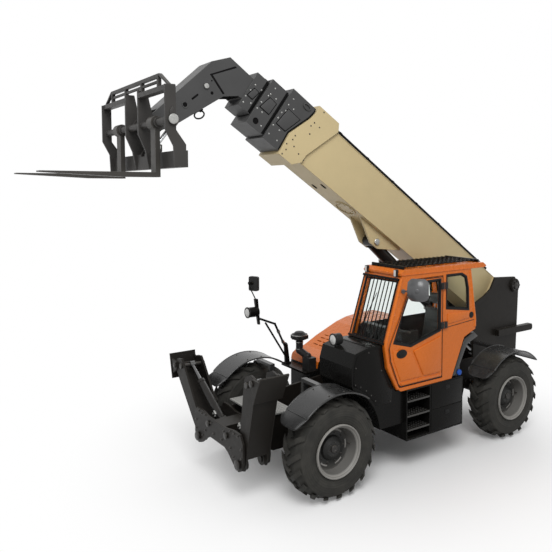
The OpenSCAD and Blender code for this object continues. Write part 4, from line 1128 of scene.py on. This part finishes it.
for side, sign in sides:
    for name, points in head_bolts.items():
        body, tag = "boom_" + name, name + "_" + side
        face = boom_side(sign * half_width[name])
        places = [face @ at(x, z, 0) for x, z in points]
        if name == "base":
            bolted(0.012, places, "head_bolts_" + tag, body)
            continue
        bolted(0.0115, places, "head_bolts_" + tag, body, zinc)
        # A near-black strip just wider than each pad plate: a painted shadow round its edges.
        shadow = plate(grown(patches[name], 0.011), 0.003, 0.001)
        fixed(shadow, "pad_shadow_" + tag, body, shade_and_plain_black, face)
        fixed(plate(patches[name], 0.010, 0.003), "pad_plate_" + tag, body, boom_grey, face)
    # A black strip along each head's rear edge: painted shade in the gap between sections.
    for name, back in gap_shade_edges.items():
        width = 0.016 if name == "second" else 0.034
        dark = plate(back + [(x + width, z) for x, z in reversed(back)], 0.003, 0.0008)
        face = boom_side(sign * half_width[name])
        fixed(dark, "head_gap_shade_" + name + "_" + side, "boom_" + name, shade_and_plain_black, face)
    # A black disc in a black ring on the third section: the disc is painted shade inside the grease hole.
    hole = joined([
        turned([(0, 0), (0.034, 0), (0.034, 0.0012), (0, 0.0012)], 28),
        turned([(0.032, 0), (0.042, 0), (0.042, 0.004), (0.038, 0.006), (0.032, 0.004)], 28),
    ])
    fixed(
        hole, "grease_hole_shade_" + side, "boom_third", shade_and_plain_black,
        boom_side(sign * half_width["third"]) @ at(5.745, -0.735, 0),
    )
    loop = hoop(oval(0.060, 0.034, 28, 5.215, -0.098), 0.010, 0.009)
    fixed(
        loop, "hand_loop_" + side, "boom_second", boom_grey,
        boom_side(sign * half_width["second"]),
    )
    cap = turned([(0, 0), (0.050, 0), (0.050, 0.008), (0.044, 0.014), (0.016, 0.016), (0, 0.016)], 36)
    plated(cap, "lift_pin_cap_" + side, "boom_base", boom_side(sign * 0.155) @ at(3.020, -0.935, 0))
    seam = bent_bar([(-0.130, -0.065, 0.002), (4.650, -0.065, 0.002)], 0.006)
    low_seam = bent_bar([(-0.130, -0.781, 0.002), (4.850, -0.781, 0.002)], 0.006)
    welds = joined([seam, low_seam])
    fixed(welds, "boom_weld_" + side, "boom_base", boom_tan, boom_side(sign * 0.2150))
under = boom @ at(0, 0, -0.785) @ spun(180, "X")
ring = turned(
    [(0.150, 0), (0.176, 0), (0.176, 0.008), (0.168, 0.012), (0.156, 0.012), (0.150, 0.006)], 56,
)
fixed(ring, "boom_cover_ring", "boom_base", boom_tan, under @ at(3.720, 0, 0))
bolted(
    0.014, [under @ at(3.720, 0, 0) @ m for m in ring_places(8, 0.120, 0.0)], "boom_cover_bolts",
    "boom_base", boom_tan,
)
# Thin black plates under the base section: painted shade in its drain slots.
slots = row_of(
    slab(0.110, 0.052, 0.025, 0.002, 0.0005), [under @ at(4.300, y, 0) for y in (-0.110, 0.110)],
)
fixed(slots, "drain_slot_shade", "boom_base", shade_and_plain_black)
strap = joined([
    panel(-0.022, -0.062, 0.022, 0.122, 0.004, 0.001),
    row_of(hex_bolt(0.012), [at(0, y, 0.004) for y in (-0.030, 0.090)]),
])
straps = row_of(strap, [boom @ at(0.75 + 0.62 * i, 0, 0.034) for i in range(7)])
fixed(straps, "tray_straps", "boom_base", panel_black)
lip = joined([bent_bar([(0.500, y, 0.0335), (4.585, y, 0.0335)], 0.005) for y in (-0.048, 0.108)])
fixed(lip, "tray_edges", "boom_base", panel_black, boom)

# Boom nose: a gooseneck of two cheek plates under a bent cover. Round plated caps end its pins, slots
# and holes lighten the cheeks, drawn as thin black plates of painted shade, and a shackle hangs below.
for side, sign in sides:
    face = boom_side(sign * 0.180)
    cap = turned(
        [(0, 0.012), (0.034, 0.012), (0.034, 0.022), (0.029, 0.028), (0.010, 0.030), (0, 0.030)], 36,
    )
    plated(cap, "tilt_pin_cap_" + side, "boom_fourth", face @ at(6.525, -0.795, 0))
    slot_turn = at(6.569, -0.997, 0) @ spun(-72, "Z")
    # Thin black plates on each cheek: painted shade in its slots and holes.
    openings = joined([
        row_of(slab(0.110, 0.024, 0.011, 0.002, 0.0005), [slot_turn]),
        row_of(
            turned([(0, 0), (0.020, 0), (0.020, 0.002), (0, 0.002)], 24),
            [at(6.415, -0.815, 0), at(6.500, -0.690, 0) @ Matrix.Scale(0.5, 4)],
        ),
        row_of(turned([(0, 0), (0.030, 0), (0.030, 0.002), (0, 0.002)], 28), [at(6.620, -1.160, 0)]),
    ])
    fixed(openings, "cheek_opening_shade_" + side, "boom_fourth", shade_and_plain_black, face)
    collar = turned([(0.029, 0), (0.040, 0), (0.040, 0.008), (0.029, 0.006)], 28)
    fixed(
        collar, "cheek_ring_" + side, "boom_fourth", boom_grey, face @ at(6.620, -1.160, 0),
    )
    band = plate([
        (6.315, -0.330), (6.345, -0.330), (6.565, -0.640), (6.290, -0.735), (6.275, -0.712),
        (6.530, -0.622),
    ], 0.006, 0.002)
    fixed(band, "cheek_weld_" + side, "boom_fourth", shade_and_plain_black, face @ at(0, 0, -0.003))
lug = plate(
    [(6.385, -1.055), (6.445, -1.020), (6.470, -1.075), (6.430, -1.105), (6.395, -1.100)], 0.020, 0.004,
)
shackle = joined([
    row_of(lug, [boom_side(0.150) @ at(0, 0, -0.010)]),
    row_of(
        hoop(oval(0.045, 0.068, 30), 0, 0.010), [boom_side(0.150) @ at(6.395, -1.135, 0) @ spun(34, "Z")],
    ),
])
fixed(shackle, "nose_shackle", "boom_fourth", shade_and_plain_black)

# Fork carriage and forks: welded plate with a round bar on which two forged forks hang. The paint is
# rubbed off the blades and heels, their paler edges partly painted highlight, and plated caps end the
# pins.
fork_black = sprayed_paint(
    "fork_black_paint", (0.036, 0.034, 0.032), 0.44, shift=0.15, dust=0.03, wear_and_highlight=0.5,
    edge=(0.18, 0.17, 0.16), shine=0.22,
)
fork_steel = sprayed_paint(
    "fork_grey_paint", (0.042, 0.039, 0.035), 0.40, shift=0.22, dust=0.02, wear_and_highlight=0.6,
    edge=(0.24, 0.22, 0.20), shine=0.25,
)
coat(fork_black, "fork_carriage")
coat(fork_steel, "forks")
coat(zinc, "nose_pin")
tool = at(3.745, 0, 4.740)
for side, sign in sides:
    cap = turned(
        [(0, -0.002), (0.054, -0.002), (0.054, 0.010), (0.046, 0.018), (0.016, 0.020), (0, 0.020)], 36,
    )
    plated(
        cap, "fork_bar_cap_" + side, "fork_carriage",
        tool @ at(0.130, sign * 1.100, -0.020) @ looking((0, sign, 0)),
    )
    guard = plate(
        [(0.095, 0.020), (0.165, 0.020), (0.160, 0.075), (0.130, 0.115), (0.112, 0.070)], 0.012, 0.004,
    )
    fixed(
        guard, "bar_retainer_" + side, "fork_carriage", fork_black,
        tool @ upright(sign * 1.075, sign),
    )
    pin_cap = turned([(0, 0), (0.052, 0), (0.052, 0.010), (0.045, 0.017), (0.016, 0.019), (0, 0.019)], 36)
    plated(
        pin_cap, "nose_pin_cap_" + side, "nose_pin",
        tool @ at(0, sign * 0.2548, 0) @ looking((0, sign, 0)),
    )
    lock = joined([
        turned([(0.0405, -0.022), (0.054, -0.022), (0.054, 0.022), (0.0405, 0.022)], 32),
        row_of(hex_bolt(0.016), [at(0, 0.053, 0) @ looking((0, 1, 0))]),
    ])
    stops = row_of(
        lock, [tool @ at(0.130, sign * y, -0.020) @ looking((0, 1, 0)) for y in (0.480, 0.680)],
    )
    fixed(stops, "fork_collars_" + side, "fork_carriage", fork_black)
rail = panel(-0.790, 0.392, 0.790, 0.424, 0.024, 0.005)
fixed(rail, "backrest_rail", "fork_carriage", fork_black, tool @ across(1, 0.139))
pin_half = [(0.0245, 0.0865), (0.036, 0.0865), (0.036, 0.106), (0.030, 0.112), (0, 0.112)]
tilt_pin = turned(both_ends(pin_half), 32)
plated(tilt_pin, "tilt_rod_pin", "fork_carriage", tool @ at(-0.0906, 0, -0.2525) @ looking((0, 1, 0)))

# Hydraulic cylinders: honed black barrels with screwed gland nuts and welded port blocks, and
# hard-chromed rods that slide in them.
chrome = bare_metal("hard_chrome", (0.50, 0.51, 0.52), 0.18, scale=90)
barrel_black = sprayed_paint(
    "barrel_black_paint", (0.012, 0.011, 0.010), 0.30, shift=0.12, dust=0.02, edge=(0.10, 0.09, 0.08),
    shine=0.25,
)
# Chrome darkened to a grey of 0.15 for the stabilizer rods: a painted dark reflection.
dark_reflection_chrome = bare_metal("chrome_painted_dark_reflection", (0.15, 0.15, 0.15), 0.26, scale=90)
coat(chrome, "lift_rod", "tilt_rod")
coat(dark_reflection_chrome, "stab_rod_left", "stab_rod_right")
coat(barrel_black, "lift_barrel", "tilt_barrel", "stab_barrel_left", "stab_barrel_right")
lift = boom @ at(3.020, 0, -0.935) @ spun(173.34, "Y") @ looking((1, 0, 0))
tilt = boom @ at(6.525, 0, -0.795) @ spun(85.948, "Y") @ looking((1, 0, 0))


def port_block(width, length, corner, height, rounding, plug):
    """A welded port block with a hexagon plug on top."""
    return joined(
        [slab(width, length, corner, height, rounding), row_of(hex_bolt(plug), [at(0, 0, height)])]
    )


def gland(inner, outer, length):
    """A screwed gland nut with two grooves, its wiper lip at the front."""
    grooves = [
        (outer, 0), (outer, length * 0.30), (outer * 0.96, length * 0.34), (outer * 0.96, length * 0.44),
        (outer, length * 0.48), (outer, length * 0.80), (outer * 0.95, length),
    ]
    return turned([(inner, 0)] + grooves + [(inner * 1.10, length), (inner, length * 0.96)], 40)


fixed(
    gland(0.0508, 0.106, 0.090), "lift_gland", "lift_barrel", barrel_black,
    lift @ at(0, 0, 1.880),
)
fixed(
    gland(0.0258, 0.055, 0.026), "tilt_gland", "tilt_barrel", barrel_black,
    tilt @ at(0, 0, 0.655),
)
for name, z in (("top", 0.440), ("low", 1.780)):
    block = port_block(0.070, 0.080, 0.010, 0.045, 0.006, 0.024)
    plated(
        block, "lift_port_" + name, "lift_barrel",
        lift @ at(0, 0, z) @ spun(150, "Z") @ at(0.080, 0, 0) @ looking((1, 0, 0)),
    )
pipe = bent_bar(
    [(0.112, 0.020, 0.470), (0.122, 0.025, 0.540), (0.122, 0.025, 1.680), (0.112, 0.020, 1.755)], 0.010,
)
plated(pipe, "lift_pipe", "lift_barrel", lift @ spun(150, "Z"))

# Stabilizers: two swinging arms between heavy cross plates at the nose, each pushed down by its own
# cylinder and ending in a broad pad on a pin. A grey chequered plate decks the frame behind them.
nose_face = 2.862  # the front of the cross plates
coat(frame_black, "stabilizer_left", "stabilizer_right")
deck_grey = sprayed_paint(
    "deck_grey_paint", (0.255, 0.255, 0.245), 0.50, dust=0.08, edge=(0.40, 0.40, 0.38), bump=0.30,
)
coat(deck_grey, "front_deck")
bar = panel(-0.018, -0.004, 0.018, 0.004, 0.004, 0.0012)
diamonds = []
for i in range(9):
    for j in range(16):
        turn = spun(45 if (i + j) % 2 else -45, "Z")
        diamonds.append(at(1.985 + 0.051 * i, -0.405 + 0.054 * j, 1.028) @ turn)
fixed(row_of(bar, diamonds), "deck_tread", "chassis", deck_grey)
for side, sign, tilt_in, turn_in in (("left", 1, 14, 31.4079), ("right", -1, 44, 60.296)):
    flip = Matrix.Identity(4) if sign > 0 else Matrix.Scale(-1, 4, (0, 1, 0))
    arm = flip @ at(0, 0.575, 0.548) @ spun(-tilt_in, "X")
    ram = flip @ at(2.650, 0.260, 0.818) @ spun(-turn_in, "X")
    body = "stabilizer_" + side
    keeper = turned([
        (0, 0.018), (0.058, 0.018), (0.064, 0.022), (0.064, 0.028), (0.056, 0.034), (0.020, 0.036),
        (0, 0.036),
    ], 36)
    fixed(
        keeper, "arm_pivot_cap_" + side, "chassis", bolt_black,
        flip @ at(nose_face, 0.575, 0.548) @ looking((1, 0, 0)),
    )
    small = turned(
        [(0, 0.013), (0.040, 0.013), (0.044, 0.016), (0.044, 0.022), (0.036, 0.027), (0, 0.027)], 32,
    )
    fixed(
        small, "ram_pivot_cap_" + side, "chassis", bolt_black,
        flip @ at(nose_face, 0.260, 0.818) @ looking((1, 0, 0)),
    )
    heads = [
        (nose_face, y, z)
        for y, z in (
            (0.36, 0.905), (0.46, 0.905), (0.56, 0.905), (0.36, 0.690), (0.44, 0.600), (0.645, 0.640),
            (0.645, 0.760), (0.18, 0.850), (0.12, 0.720),
        )
    ]
    bolted(0.020, spots(heads, (1, 0, 0), flip), "cross_plate_bolts_" + side)
    pin_half = [(0.0252, 0.171), (0.040, 0.171), (0.040, 0.186), (0.034, 0.192), (0, 0.192)]
    pin = turned(both_ends(pin_half), 32)
    fixed(
        pin, "ram_rod_pin_" + side, body, bolt_black,
        arm @ at(2.650, -0.100, 1.050) @ looking((1, 0, 0)),
    )
    foot = turned([(0, 0), (0.040, 0), (0.040, 0.008), (0.032, 0.014), (0, 0.014)], 28)
    ends = [arm @ at(2.650 + d * 0.204, 0.040, 1.150) @ looking((d, 0, 0)) for d in (-1, 1)]
    fixed(row_of(foot, ends), "foot_pin_caps_" + side, body, bolt_black)
    edge = joined([
        bent_bar([(2.484, 0.099, 0.05), (2.484, 0.099, 1.14)], 0.006),
        bent_bar([(2.816, 0.099, 0.05), (2.816, 0.099, 1.14)], 0.006),
    ])
    fixed(edge, "arm_welds_" + side, body, frame_black, arm)
    fixed(
        gland(0.0286, 0.058, 0.052), "stab_gland_" + side, "stab_barrel_" + side,
        barrel_black, ram @ at(0, 0, 0.722),
    )
    port = port_block(0.056, 0.070, 0.008, 0.034, 0.005, 0.020)
    plated(
        port, "stab_port_" + side, "stab_barrel_" + side, ram @ at(0.040, 0, 0.140) @ looking((1, 0, 0)),
    )
